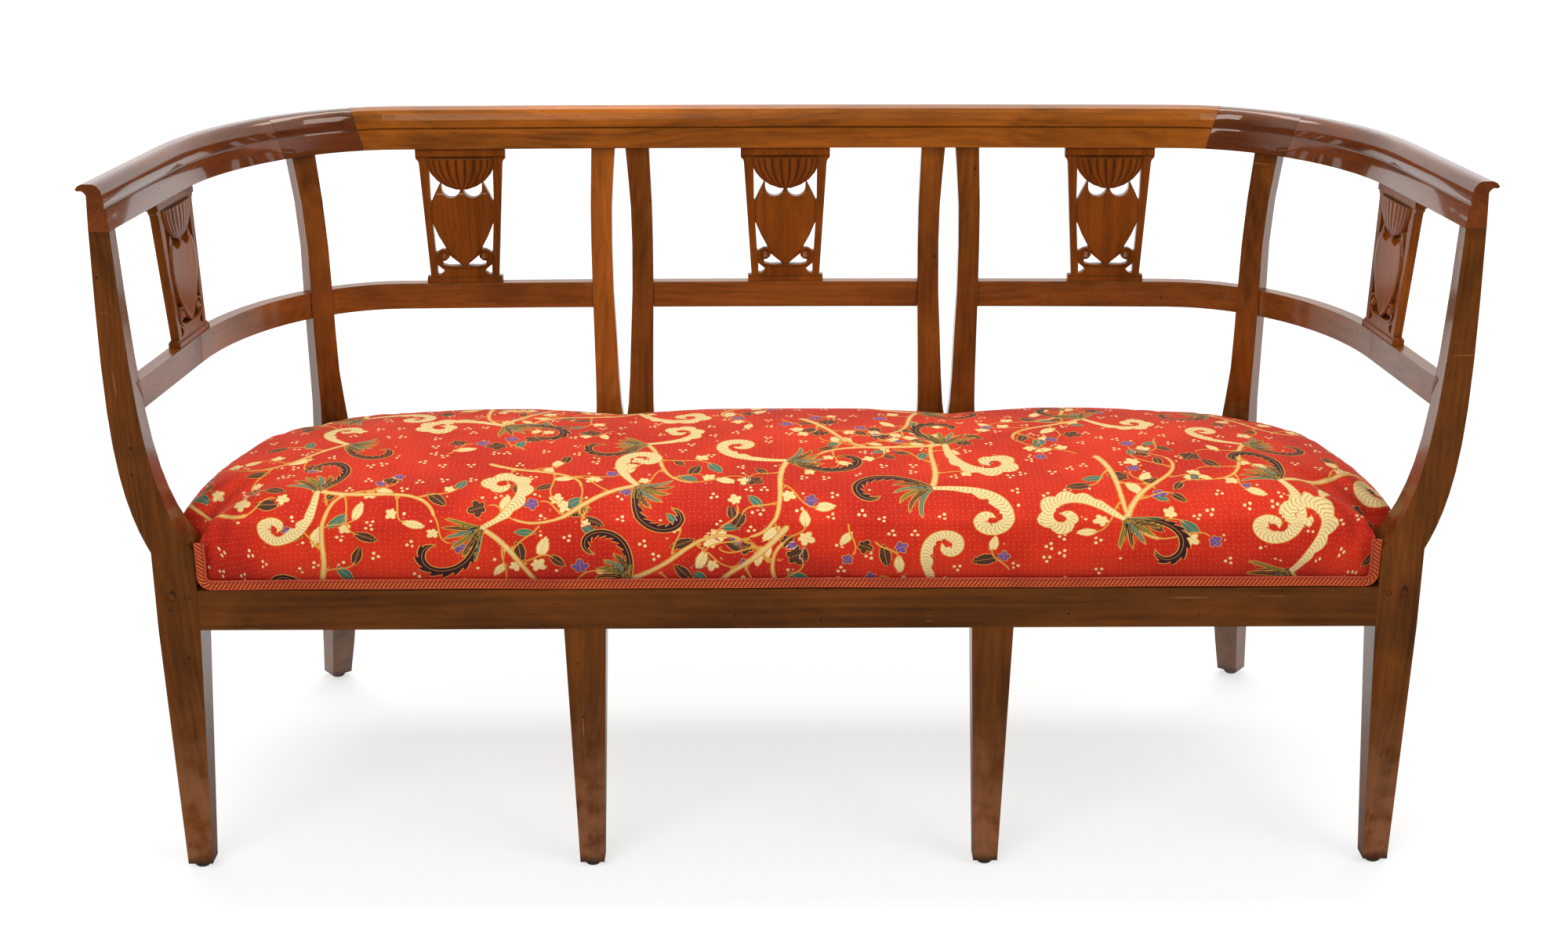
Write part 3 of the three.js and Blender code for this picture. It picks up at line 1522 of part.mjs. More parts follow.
// Fastenings and glides
addPair("rail_peg", peg(smallPegX, smallPegRadius), redWood);
addPair("side_peg", peg(sideRailStart, pegRadius), redWood);
addPair("glide_front", glide(frontFoot.x, frontFoot.y), darkIron);
addPair("glide_middle", glide(middleFoot.x, middleFoot.y), darkIron);
addPair("glide_rear", glide(rearFoot.x, rearFoot.y), darkIron);

// Upholstery
addPart("seat_webbing", geometryOf(webbing()), jute);
addPart("seat_cushion", geometryOf(cushionSolid()), printedCloth);
addPart("seat_braid_front", geometryOf(frontBraid()), braidCloth);
addPair("seat_braid", sideBraid(), braidCloth);

// The origin lies on the floor, under the middle of the whole
const bounds = new THREE.Box3().setFromObject(settee);
settee.position.y = -(bounds.min.y + bounds.max.y) / 2;

export default settee;
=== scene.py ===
import json
import math

import bmesh
import bpy
import numpy as np
from mathutils import Matrix, Vector


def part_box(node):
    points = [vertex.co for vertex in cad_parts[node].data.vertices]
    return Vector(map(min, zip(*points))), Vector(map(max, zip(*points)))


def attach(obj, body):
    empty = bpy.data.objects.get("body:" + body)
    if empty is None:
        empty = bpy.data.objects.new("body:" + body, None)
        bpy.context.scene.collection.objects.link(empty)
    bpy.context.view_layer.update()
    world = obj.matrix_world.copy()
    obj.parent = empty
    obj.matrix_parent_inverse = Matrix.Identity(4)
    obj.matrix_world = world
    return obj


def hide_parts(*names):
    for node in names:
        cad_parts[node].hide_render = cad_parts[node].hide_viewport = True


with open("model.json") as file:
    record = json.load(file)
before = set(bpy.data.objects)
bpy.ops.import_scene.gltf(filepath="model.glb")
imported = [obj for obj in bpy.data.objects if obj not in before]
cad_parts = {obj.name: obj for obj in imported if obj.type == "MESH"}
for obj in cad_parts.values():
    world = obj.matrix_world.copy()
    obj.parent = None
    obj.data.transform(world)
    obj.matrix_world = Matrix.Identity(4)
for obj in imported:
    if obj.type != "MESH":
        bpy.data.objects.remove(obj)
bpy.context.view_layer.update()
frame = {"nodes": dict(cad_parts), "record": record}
nodes = frame["nodes"]
slotOf = {s["node"]: s["material_slot"] for s in frame["record"]["subparts"]}
print("frame loaded:", len(nodes), "pieces")


def newObject(name, data):
    item = bpy.data.objects.new(name, data)
    bpy.context.scene.collection.objects.link(item)
    return item


# the camera, at the place where the settee was photographed; its angles are in degrees
camera = {
    "lens": 50.4, "sensor": 36, "place": (-0.024, -2.724751, 1.352),
    "down": 18.98, "turn": -0.43, "tilt": -0.04,
}


def setCamera(c):
    data = bpy.data.cameras.new("camera")
    holder = bpy.context.scene.camera = newObject("camera", data)
    data.sensor_width, data.lens = c["sensor"], c["lens"]
    turn, down, tilt = (Matrix.Rotation(math.radians(angle), 4, axis) for angle, axis in
                        ((c["turn"], "Z"), (90 - c["down"], "X"), (c["tilt"], "Z")))
    holder.matrix_world = Matrix.Translation(c["place"]) @ turn @ down @ tilt


setCamera(camera)
bpy.context.scene.view_settings.view_transform = "Standard"


# shader maths: a value from a node, on which + - * / and ** add Math nodes
class Flow:
    def __init__(self, finish, plug):
        self.finish, self.plug = finish, plug

    def maths(self, operation, *values):
        return self.finish.node("Math", {"operation": operation}, dict(enumerate(values)))

    def __add__(self, other): return self.maths("ADD", self, other)
    def __radd__(self, other): return self.maths("ADD", other, self)
    def __sub__(self, other): return self.maths("SUBTRACT", self, other)
    def __rsub__(self, other): return self.maths("SUBTRACT", other, self)
    def __mul__(self, other): return self.maths("MULTIPLY", self, other)
    def __rmul__(self, other): return self.maths("MULTIPLY", other, self)
    def __truediv__(self, other): return self.maths("DIVIDE", self, other)
    def __rtruediv__(self, other): return self.maths("DIVIDE", other, self)
    def __pow__(self, other): return self.maths("POWER", self, other)
    def __abs__(self): return self.maths("ABSOLUTE", self)

    # 0 below low, 1 above high, and a smooth step between
    def step(self, low, high):
        return self.finish.node("MapRange", {"interpolation_type": "SMOOTHSTEP"},
                                {"Value": self, "From Min": low, "From Max": high})

    def least(self, other): return self.maths("MINIMUM", self, other)
    def most(self, other): return self.maths("MAXIMUM", self, other)
    def sine(self): return self.maths("SINE", self)
    def cosine(self): return self.maths("COSINE", self)
    def arc(self): return self.maths("ARCSINE", self)
    def rest(self): return self.maths("FRACT", self)
    def root(self): return self.maths("SQRT", self)


class Finish:
    def __init__(self, name, tree=None, **fixed):
        if tree is None:
            self.material = bpy.data.materials.new(name)
            self.material.use_nodes = True
            tree = self.material.node_tree
        self.tree = tree
        self.shader = tree.nodes.get("Principled BSDF")
        for socket, value in fixed.items():
            self.shader.inputs[socket.replace("_", " ")].default_value = value

    # any shader node: its settings first, then the values or links of its sockets
    def node(self, kind, settings=None, sockets=None, output=0):
        made = self.tree.nodes.new("ShaderNode" + kind)
        for key, value in (settings or {}).items():
            if key == "stops":
                ramp = made.color_ramp.elements
                while len(ramp) < len(value):
                    ramp.new(0.5)
                for stop, (place, colour) in zip(ramp, value):
                    stop.position, stop.color = place, (*colour, 1)
            else:
                setattr(made, key, value)
        for key, value in (sockets or {}).items():
            self.feed(made.inputs[key], value)
        return Flow(self, made.outputs[output])

    def feed(self, socket, value):
        if isinstance(value, Flow):
            self.tree.links.new(value.plug, socket)
        elif socket.type == "RGBA":
            socket.default_value = (*value, 1)
        else:
            socket.default_value = value

    def place(self): return self.node("TexCoord", output="Object")

    def along(self, vector, direction):
        return self.node("VectorMath", {"operation": "DOT_PRODUCT"},
                         {0: vector, 1: tuple(direction)}, "Value")

    def point(self, x, y, z): return self.node("CombineXYZ", None, {0: x, 1: y, 2: z})

    def noise(self, vector, scale, detail=2.0, roughness=0.5, distortion=0.0):
        return self.node("TexNoise", None, {"Vector": vector, "Scale": scale, "Detail": detail,
                         "Roughness": roughness, "Distortion": distortion})

    # a cell pattern: the distance to the nearest cell's heart, or that heart's place
    def cells(self, vector, scale, randomness, flat=True, output=0):
        return self.node("TexVoronoi", {"voronoi_dimensions": "2D" if flat else "3D"},
                         {"Vector": vector, "Scale": scale, "Randomness": randomness}, output)

    def attribute(self, name): return self.node("Attribute", {"attribute_name": name}, None, "Fac")

    def mix(self, share, first, second, blend="MIX"):
        return self.node("Mix", {"data_type": "RGBA", "blend_type": blend},
                         {0: share, 6: first, 7: second}, 2)

    def stain(self, colour, mask, share, tone): return self.mix(mask * share, colour, tone)

    def bump(self, height, distance, strength=1.0, before=None):
        sockets = {"Height": height, "Distance": distance, "Strength": strength}
        if before:
            sockets["Normal"] = before
        return self.node("Bump", None, sockets)

    def to(self, **flows):
        for socket, flow in flows.items():
            self.feed(self.shader.inputs[socket.replace("_", " ")], flow)
        return self.material


# a colour written as 0-255 screen values
def tint(red, green, blue):
    shares = [v / 255 for v in (red, green, blue)]
    return tuple(v / 12.92 if v <= 0.04045 else ((v + 0.055) / 1.055) ** 2.4 for v in shares)


def scaled(colour, share):
    return tuple(c * share for c in colour)


right, inward, upward = (1, 0, 0), (0, 1, 0), (0, 0, 1)


# floor, surround and lamps; frontFloor and frontDark are what the varnish reflects from in front
studio = {
    "floorSize": 60.0, "floor": 0.72, "frontFloor": 0.10, "floorTurn": (-0.6, 0.9),
    "seenFloor": 0.46, "nearGlow": 0.62, "farGlow": 1.0, "glowReach": (1.3, 3.2),
    "surround": 0.52, "seenWhite": 1.0, "frontDark": 0.08, "skyTurn": (-0.75, -0.1),
    "aim": (0, 0, 0.45),
    "lamps": {  # place, size and watts
        "frontLamp": ((-1.6, -3.4, 3.0), (2.6, 2.0), 78),
        "sideLamp": ((2.6, -2.2, 2.6), (2.0, 1.6), 36),
        "topLamp": ((0.0, 0.7, 2.9), (3.4, 0.9), 46),
    },
}


# whether a ray comes from the camera, through glass too, and whether it is a reflection
def raysOf(finish):
    rays = finish.tree.nodes.new("ShaderNodeLightPath")
    straight, through, glossy = (Flow(finish, rays.outputs[kind]) for kind in
                                 ("Is Camera Ray", "Is Transmission Ray", "Is Glossy Ray"))
    return straight.most(through), glossy


def makeStudio(s):
    half = s["floorSize"] / 2
    mesh = bpy.data.meshes.new("floor")
    mesh.from_pydata([(-half, -half, 0), (half, -half, 0), (half, half, 0), (-half, half, 0)], [], [(0, 1, 2, 3)])
    floor = newObject("floor", mesh)
    paper = Finish("floorPaper")
    paper.tree.nodes.remove(paper.shader)
    spot = paper.place()
    away = paper.node("VectorMath", {"operation": "LENGTH"}, {0: spot}, "Value")
    glow = away.step(*s["glowReach"]) * (s["farGlow"] - s["nearGlow"]) + s["nearGlow"]
    seenShade = paper.node("BsdfDiffuse", None, {"Color": (s["seenFloor"],) * 3})
    seenGlow = paper.node("Emission", None, {"Color": glow, "Strength": 1.0})
    seenPaper = paper.node("AddShader", None, {0: seenShade, 1: seenGlow})
    seen, glossy = raysOf(paper)
    plain = paper.node("BsdfDiffuse", None,
                       {"Color": glossy * (s["frontFloor"] - s["floor"]) + s["floor"]})
    seen = seen.most(glossy * paper.along(spot, inward).step(*s["floorTurn"]))
    mixed = paper.node("MixShader", None, {0: seen, 1: plain, 2: seenPaper})
    paper.tree.links.new(mixed.plug, paper.tree.nodes["Material Output"].inputs["Surface"])
    floor.data.materials.append(paper.material)

    # the surround is white to the camera, and to reflections from the sides and the back
    world = bpy.data.worlds.new("surround")
    bpy.context.scene.world = world
    world.use_nodes = True
    air = Finish("surround", tree=world.node_tree)
    seen, glossy = raysOf(air)
    way = air.node("TexCoord")
    white = air.along(way, inward).step(*s["skyTurn"]) * (s["seenWhite"] - s["frontDark"]) + s["frontDark"]
    level = seen * s["seenWhite"] + glossy * white + (1 - seen) * (1 - glossy) * s["surround"]
    sky = world.node_tree.nodes["Background"]
    sky.inputs["Strength"].default_value = 1
    world.node_tree.links.new(level.plug, sky.inputs["Color"])

    for name, (place, size, power) in s["lamps"].items():
        data = bpy.data.lights.new(name, "AREA")
        data.shape, data.size, data.size_y = "RECTANGLE", *size
        data.energy = power
        holder = newObject(name, data)
        holder.location = place
        holder.rotation_euler = (Vector(s["aim"]) - Vector(place)).to_track_quat("-Z", "Y").to_euler()


makeStudio(studio)
print("studio made")


# mesh helpers
def applyAll(item):
    shaped = item.evaluated_get(bpy.context.evaluated_depsgraph_get())
    mesh = bpy.data.meshes.new_from_object(shaped)
    item.modifiers.clear()
    item.data = mesh


def vectorsOf(parts, key):
    flat = np.empty(len(parts) * 3, np.float32)
    parts.foreach_get(key, flat)
    return flat.reshape(-1, 3).astype(float)


def pointsOf(item): return vectorsOf(item.data.vertices, "co")


def dress(item, material):
    item.data.materials.clear()
    item.data.materials.append(material)


def shadeSmooth(mesh):
    mesh.polygons.foreach_set("use_smooth", np.ones(len(mesh.polygons), bool))


def addAttribute(item, name, values):
    attribute = item.data.attributes.new(name, "FLOAT", "POINT")
    attribute.data.foreach_set("value", values.astype(np.float32))


# a CAD node's mesh is loose triangles: a copy has them merged, and joined where they lie flat
def mergedCopy(node, merge, flat=None):
    mesh = nodes[node].data.copy()
    work = bmesh.new()
    work.from_mesh(mesh)
    bmesh.ops.remove_doubles(work, verts=work.verts, dist=merge)
    if flat:
        bmesh.ops.dissolve_limit(work, angle_limit=math.radians(flat), verts=work.verts, edges=work.edges)
    work.to_mesh(mesh)
    work.free()
    return mesh


# varnished walnut by slot: its mean colour, how much light and dark it holds, the width of its rings, the
# roughness of the wood, and the strength and roughness of the varnish
woodTraits = ("mean", "spread", "ring", "gloss", "coat", "polish")
woods = {slot: dict(zip(woodTraits, values)) for slot, values in {
    "golden_wood": (tint(142, 76, 10), 0.9, 0.010, 0.26, 0.3, 0.3),
    "dark_wood": (tint(90, 42, 14), 0.7, 0.008, 0.2, 0.9, 0.05),
    "carved_wood": (tint(118, 58, 10), 0.7, 0.006, 0.3, 0.2, 0.16),
    "frame_wood": (tint(98, 51, 12), 0.9, 0.009, 0.28, 0.5, 0.12),
    "peg_wood": (tint(88, 44, 12), 0.6, 0.003, 0.35, 0.3, 0.2),
    "plain_wood": (tint(160, 116, 70), 0.5, 0.006, 0.6, 0.0, 0.3),
}.items()}
# pieces that are paler or darker than their slot
lifts = {
    "back_post_left_outer": 2.15, "back_post_left_inner": 1.35, "back_post_right_inner": 1.5,
    "back_post_right_outer": 1.45, "mid_rail_back_centre": 1.6, "mid_rail_back_left": 1.5,
    "mid_rail_back_right": 1.5, "mid_rail_side_left": 1.35, "mid_rail_side_right": 1.35,
    "corner_post_left": 1.3, "corner_post_right": 1.25, "seat_rail_front": 0.82,
    "middle_leg_left": 0.82, "middle_leg_right": 0.88, "crest_arm_left": 1.35, "crest_arm_right": 1.35,
    "crest_corner_right": 0.95,
}

# the wood's marks as noises: fineness along, across and into the grain; which of the piece's three shifts
# moves each; and detail, roughness and distortion
marks = {
    "bend": ((2.2, 8, 8), (0, 1, 2), (3.0,)),
    "fibre": ((4, 170, 170), (0, None, None), (4.0, 0.65)),
    "pores": ((60, 950, 950), (None, 1, None), (1.0, 0.5)),
    "drift": ((3, 13, 13), (2, None, None), (3.0, 0.6)),
    "stripe": ((1.5, 48, 48), (None, 2, None), (2.0, 0.5)),
    "mottle": ((7, 16, 16), (1, None, 0), (4.0, 0.6, 0.6)),
    "wave": ((9, 22, 22), (1, None, None), (1.0,)),
    "scratch": ((9, 420, 420), (2, None, None), (1.0, 0.5)),
    "scratched": ((16, 30, 30), (1, None, None), (2.0,)),
}
# how much each mark moves the tone, from dark at 0 to pale at 1
toneShares = {"fibre": 0.7, "drift": 1.1, "stripe": 0.8, "mottle": 1.1}
# the heart of the tree beside the plank, and how far the rings wander round it
heart = {"bend": 0.11, "bendDeep": 0.6, "aside": 0.06, "deep": 0.03, "deeper": 0.05, "share": 0.06}
# painted shade in the hollows within reach of a face, from ambient occlusion darkening the colour, and the rounding
# of the edges
hollowShade = {"reach": 0.008, "open": (0.3, 0.95), "share": 0.7, "tone": 0.25}
edgeRound = 0.0014


# the three main directions of a piece: the grain runs along the longest
def grainOf(item):
    points = pointsOf(item)
    directions = np.linalg.svd(points - points.mean(0), full_matrices=False)[2]
    return [Vector(d) for d in directions]


def markOf(f, kind, ways, shifts):
    scales, moved, looks = marks[kind]
    places = [way * scale for way, scale in zip(ways, scales)]
    places = [place if m is None else place + shifts[m] for place, m in zip(places, moved)]
    return f.noise(f.point(*places), 1.0, *looks)


# the flutes that fan out over a splat's shell, from the shell's tip to its rim, cut in by bump and darkened along
# each groove with painted shade
flutes = {
    "foot": 0.624, "tip": 0.126, "height": 0.0425, "halfWidth": 0.0463, "round": 0.55, "count": 12, "edge": 0.04,
    "hollowShade": 0.75, "depth": 4,
}


def fluteOf(f, name, spot, wide, c):
    reach = pointsOf(nodes[name]) @ np.array(wide)
    across = f.along(spot, wide) - float(reach.min() + reach.max()) / 2
    level = (f.along(spot, upward) - c["foot"] - c["tip"]) / c["height"]
    inner = level.most(0.001).least(1.0)
    # half width at a level: (1 - (1 - level)^2)^0.55, and the turn round the half bowl at a place across it
    share = across / ((1 - (1 - inner) * (1 - inner)) ** c["round"] * c["halfWidth"])
    turn = share.most(-1.0).least(1.0).arc()
    edge = c["edge"]
    mask = (1 - abs(share).step(1 - edge, 1.0)) * level.step(0.0, edge) * (1 - level.step(1 - edge, 1.0))
    return (0.5 - (turn * (2 * c["count"])).cosine() * 0.5) * mask


# the old plug at a front post's side peg, dark and soft at its edge
plug = {
    "aside": {"left": 0.002, "right": 0.0005}, "high": 0.0085, "flat": 0.3, "uneven": 0.004,
    "edge": (0.002, 0.0045), "share": 0.85, "tone": tint(40, 22, 18),
}


def plugged(f, name, spot, mottle, colour, c):
    hand = name.removeprefix("front_post_")
    low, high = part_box("side_peg_" + hand)
    aside = f.along(spot, right) - ((low.x + high.x) / 2 + c["aside"][hand])
    above = f.along(spot, upward) - (low.z + c["high"])
    far = (aside * aside + above * above * c["flat"]).root() + (mottle - 0.5) * c["uneven"]
    return f.mix((1 - far.step(*c["edge"])) * c["share"], colour, c["tone"])


# darker where a post meets the crest, and where a back post meets the seat: the dark joint line, with painted shadow
# under the crest and at the seat
jointGrimeAndShadow = {"crest": (0.790, 0.806), "seat": (0.42, 0.52), "uneven": 0.02, "share": 0.4, "tone": 0.5}


def jointGrimeAndShade(f, name, spot, mottle, colour, deep, c):
    climb = f.along(spot, upward) + (mottle - 0.5) * c["uneven"]
    dark = climb.step(*c["crest"])
    if not name.startswith("front"):
        dark = dark.most(1 - climb.step(*c["seat"]))
    return f.mix(dark * c["share"], colour, scaled(deep, c["tone"]))


# rubbed pale scratches along the grain and level ones across it, small dark dents, and dusty scuffed feet
wear = {
    "scratchEdge": (0.72, 0.76), "scratchPatch": (0.55, 0.64), "scratch": (0.4, tint(176, 128, 70)),
    "rubEdge": (0.72, 0.77), "rubPatch": (0.58, 0.66), "rubScale": (12, 260, 7), "rubPatchScale": (9, 14, 5),
    "dentScale": 34.0, "dentEdge": (0.045, 0.075), "dent": (0.8, tint(34, 18, 10)), "dentDepth": 2,
    "scuffHigh": (0.01, 0.26), "scuffScale": 38.0, "scuffEdge": (0.25, 0.65), "scuff": (0.45, tint(170, 112, 78)),
    "soleHigh": (0.008, 0.02), "sole": (0.7, tint(40, 24, 16)), "scratchRough": 0.2, "scuffRough": 0.3,
}


def worn(f, spot, ways, shifts, colour, rough, height, c):
    high, side = f.along(spot, upward), f.along(spot, right)

    def level(scales, shift, deep):
        sideScale, highScale, moved = scales
        return f.noise(f.point(side * sideScale, high * highScale + shift * moved, deep), 1.0, 1.0)

    fine, patch = markOf(f, "scratch", ways, shifts), markOf(f, "scratched", ways, shifts)
    rub, rubPatch = level(c["rubScale"], shifts[0], 0.0), level(c["rubPatchScale"], shifts[1], 3.0)
    scratch = fine.step(*c["scratchEdge"]) * patch.step(*c["scratchPatch"])
    scratch = scratch.most(rub.step(*c["rubEdge"]) * rubPatch.step(*c["rubPatch"]))
    dent = 1 - f.cells(spot, c["dentScale"], 1.0, flat=False).step(*c["dentEdge"])
    scuff = (1 - high.step(*c["scuffHigh"])) * f.noise(spot, c["scuffScale"], 4.0).step(*c["scuffEdge"])
    masks = {"scratch": scratch, "dent": dent, "scuff": scuff, "sole": 1 - high.step(*c["soleHigh"])}
    for kind, mask in masks.items():
        colour = f.stain(colour, mask, *c[kind])
    return colour, rough + scratch * c["scratchRough"] + scuff * c["scuffRough"], height - dent * c["dentDepth"]


def walnut(name, wood, directions, seed):
    lift = lifts.get(name, 1.0)
    mean = scaled(wood["mean"], lift)
    pale, deep = (scaled(mean, 1 + side * 0.75 * wood["spread"]) for side in (1, -1))
    f = Finish(name + "Walnut", Specular_IOR_Level=0.3, Coat_Weight=wood["coat"],
               Coat_Roughness=wood["polish"], Coat_IOR=1.6)
    f.shader.inputs["Specular Tint"].default_value = (1.0, 0.55, 0.22, 1)
    spot = f.place()
    ways = [f.along(spot, d) for d in directions]
    shifts = np.random.default_rng(seed).uniform(-0.5, 0.5, 3)

    # rings round a heart beside the plank: the distance from the heart, bent by slow noise
    bend = (markOf(f, "bend", ways, shifts) - 0.5) * heart["bend"]
    across = ways[1] + bend + shifts[1] * heart["aside"]
    depth = ways[2] + bend * heart["bendDeep"] + (heart["deep"] + abs(shifts[2]) * heart["deeper"])
    ring = ((across * across + depth * depth).root() * (math.tau / wood["ring"])).sine()

    # fibres, short dark pores, and slow drifts of tone
    seen = {kind: markOf(f, kind, ways, shifts) for kind in ("fibre", "pores", "drift", "stripe", "mottle", "wave")}
    pore = seen["pores"].step(0.62, 0.72)
    tone = 0.5 + ring * heart["share"]
    for kind, share in toneShares.items():
        tone = tone + (seen[kind] - 0.5) * share
    colour = f.node("ValToRGB", {"stops": [(0.0, deep), (0.5, mean), (1.0, pale)]}, {"Fac": tone})
    colour = f.mix(pore * 0.4, colour, scaled(deep, 0.35))
    rough = wood["gloss"] + (seen["drift"] - 0.5) * 0.2 + pore * 0.1
    height = seen["fibre"] * 0.25 - pore * 0.5 + seen["wave"] * 4

    # painted shade: ambient occlusion darkens the colour in hollows
    hollow = f.node("AmbientOcclusion", {"samples": 6, "only_local": True}, {"Distance": hollowShade["reach"]}, "AO")
    paintedShade = (1 - hollow.step(*hollowShade["open"])) * hollowShade["share"]
    if name.startswith("splat"):
        flute = fluteOf(f, name, spot, directions[1], flutes)
        # painted shade along the middle of each flute groove
        paintedShade = paintedShade.most(flute ** 3 * flutes["hollowShade"])
        height = height - flute * flutes["depth"]
    colour = f.mix(paintedShade, colour, scaled(deep, hollowShade["tone"]))
    if name.startswith("front_post"):
        colour = plugged(f, name, spot, seen["mottle"], colour, plug)
    # the dark joint line with painted shadow where the posts meet the crest and the seat
    if "_post_" in name:
        colour = jointGrimeAndShade(f, name, spot, seen["mottle"], colour, deep, jointGrimeAndShadow)
    if slotOf[name] == "frame_wood":
        colour, rough, height = worn(f, spot, ways, shifts, colour, rough, height, wear)
    edges = f.node("Bevel", {"samples": 4}, {"Radius": edgeRound})
    return f.to(Base_Color=colour, Roughness=rough, Normal=f.bump(height, 0.00012, 0.4, edges))


# the curved pieces are shown as copies that shade as one surface; flat and sharp are in degrees
curved = {
    "starts": ("crest_arm", "crest_corner", "mid_rail_side", "seat_rail_side", "front_post", "corner_post",
               "back_post"),
    "merge": 0.00002, "flat": 0.6, "sharp": 31,
}


def curvedCopy(name, c):
    mesh = mergedCopy(name, c["merge"], c["flat"])
    shadeSmooth(mesh)
    mesh.set_sharp_from_angle(angle=math.radians(c["sharp"]))
    item = newObject(name + "_curved", mesh)
    evened = item.modifiers.new("evened", "WEIGHTED_NORMAL")
    evened.keep_sharp = True
    applyAll(item)
    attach(item, "root")
    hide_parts(name)
    return item


def finishWoods():
    for number, name in enumerate(sorted(nodes)):
        wood = woods.get(slotOf.get(name))
        if wood:
            directions = grainOf(nodes[name])
            item = curvedCopy(name, curved) if name.startswith(curved["starts"]) else nodes[name]
            dress(item, walnut(name, wood, directions, number + 1))


finishWoods()
print("woods finished")


# the seat cushion: the CAD cushion, swollen as cloth
cushion = {
    "merge": 0.00005, "voxel": 0.006, "startInset": 0.002, "frames": 20,
    "cloth": {"use_pressure": True, "uniform_pressure_force": 4.0, "vertex_group_mass": "held", "quality": 4},
    "growth": 0.008, "clearance": 0.001, "seatTop": 0.3728, "heldTo": 0.3768, "braidTop": 0.385, "freeAt": 0.404,
}


# the room from each point to the boxes round its neighbours: the length of what sticks out past the box
def roomTo(points, boxes):
    room = np.full(len(points), 1.0)
    for low, high in boxes:
        past = np.maximum(np.maximum(np.array(low) - points, points - np.array(high)), 0)
        room = np.minimum(room, np.linalg.norm(past, axis=1))
    return room


def putPoints(item, points):
    item.data.vertices.foreach_set("co", points.astype(np.float32).ravel())
    item.data.update()


# no point moves further than the growth or the room to its neighbours, and none below the braid's top, where
# the cover is nailed down
def limitedMove(start, swollen, c):
    boxes = [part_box(n) for n in nodes if n.startswith(("front_post", "corner_post", "back_post"))]
    free = np.clip((start[:, 2] - c["braidTop"]) / (c["freeAt"] - c["braidTop"]), 0, 1)
    free = free * free * (3 - 2 * free)
    cap = np.clip(roomTo(start, boxes) - c["clearance"], 0, c["growth"] * free)
    move = swollen - start
    length = np.linalg.norm(move, axis=1)
    move *= (np.minimum(length, cap) / np.maximum(length, 1e-9))[:, None]
    moved = start + move
    moved[:, 2] = np.maximum(moved[:, 2], c["seatTop"])
    return moved


def makeCushion(c):
    pad = newObject("seat_pad", mergedCopy("seat_cushion", c["merge"]))
    remesh = pad.modifiers.new("voxels", "REMESH")
    remesh.mode, remesh.voxel_size, remesh.use_smooth_shade = "VOXEL", c["voxel"], True
    applyAll(pad)
    start = pointsOf(pad)
    inset = start - vectorsOf(pad.data.vertex_normals, "vector") * c["startInset"]
    inset[:, 2] = np.maximum(inset[:, 2], c["seatTop"])
    putPoints(pad, inset)
    held = pad.vertex_groups.new(name="held")
    held.add(np.flatnonzero(start[:, 2] < c["heldTo"]).tolist(), 1.0, "REPLACE")
    cloth = pad.modifiers.new("swell", "CLOTH")
    for key, value in c["cloth"].items():
        setattr(cloth.settings, key, value)
    cloth.settings.effector_weights.gravity = 0
    cloth.point_cache.frame_start, cloth.point_cache.frame_end = 1, c["frames"]
    for number in range(1, c["frames"] + 1):
        bpy.context.scene.frame_set(number)
    applyAll(pad)
    bpy.context.scene.frame_set(1)
    putPoints(pad, limitedMove(start, pointsOf(pad), c))
    smooth = pad.modifiers.new("subdivision", "SUBSURF")
    smooth.levels = smooth.render_levels = 1
    applyAll(pad)
    shadeSmooth(pad.data)
    return pad


pad = makeCushion(cushion)
print("cushion shaped:", len(pad.data.vertices), "points")


# the print on the cloth, drawn as distances on the cloth's own plane (u, v)
# cloth plane: u is x and v is y on top, and the drop below the top is added outwards over an edge, whose fold
# has a place and a width
clothFolds = {"top": 0.452, "front": (-0.15, 0.12), "back": (0.06, 0.08), "side": (0.60, 0.11)}


def clothPlane(points, c):
    x, y, z = points.T
    drop = np.maximum(c["top"] - z, 0)
    frontShare = np.clip((c["front"][0] - y) / c["front"][1], 0, 1)
    backShare = np.clip((y - c["back"][0]) / c["back"][1], 0, 1)
    sideShare = np.clip((abs(x) - c["side"][0]) / c["side"][1], 0, 1)
    u = x + np.sign(x) * drop * sideShare
    v = y - drop * frontShare * (1 - 0.5 * sideShare) + drop * backShare
    return np.stack([u, v], 1)


# a path whose heading turns faster and faster: heading = start + turn*t + curl*t^3, summed step by step
def curlPath(start, heading, length, curls, hand=1, count=44):
    turn, curl = curls[0] * hand, curls[1] * hand
    t = np.linspace(0, 1, count)
    angle = heading + turn * t + curl * t ** 3
    step = np.stack([np.cos(angle), np.sin(angle)], 1) * (length / (count - 1))
    return np.vstack([[start], np.array(start) + np.cumsum(step[:-1], 0)])


def headingAt(path, at):
    return math.atan2(*(path[at] - path[at - 1])[::-1])


# for each cloth point: the nearest place along a path (0 to 1), and the distance across it with and without sign
def acrossPath(cloth, path):
    near = np.full(len(cloth), 9.0)
    side = np.zeros(len(cloth))
    share = np.zeros(len(cloth))
    pieces = len(path) - 1
    for k in range(pieces):
        edge = path[k + 1] - path[k]
        reach = cloth - path[k]
        t = np.clip(reach @ edge / (edge @ edge), 0, 1)
        distance = np.hypot(*(reach - t[:, None] * edge).T)
        nearer = distance < near
        near = np.where(nearer, distance, near)
        side = np.where(nearer, distance * np.sign(edge[0] * reach[:, 1] - edge[1] * reach[:, 0]), side)
        share = np.where(nearer, (k + t) / pieces, share)
    return share, side, near


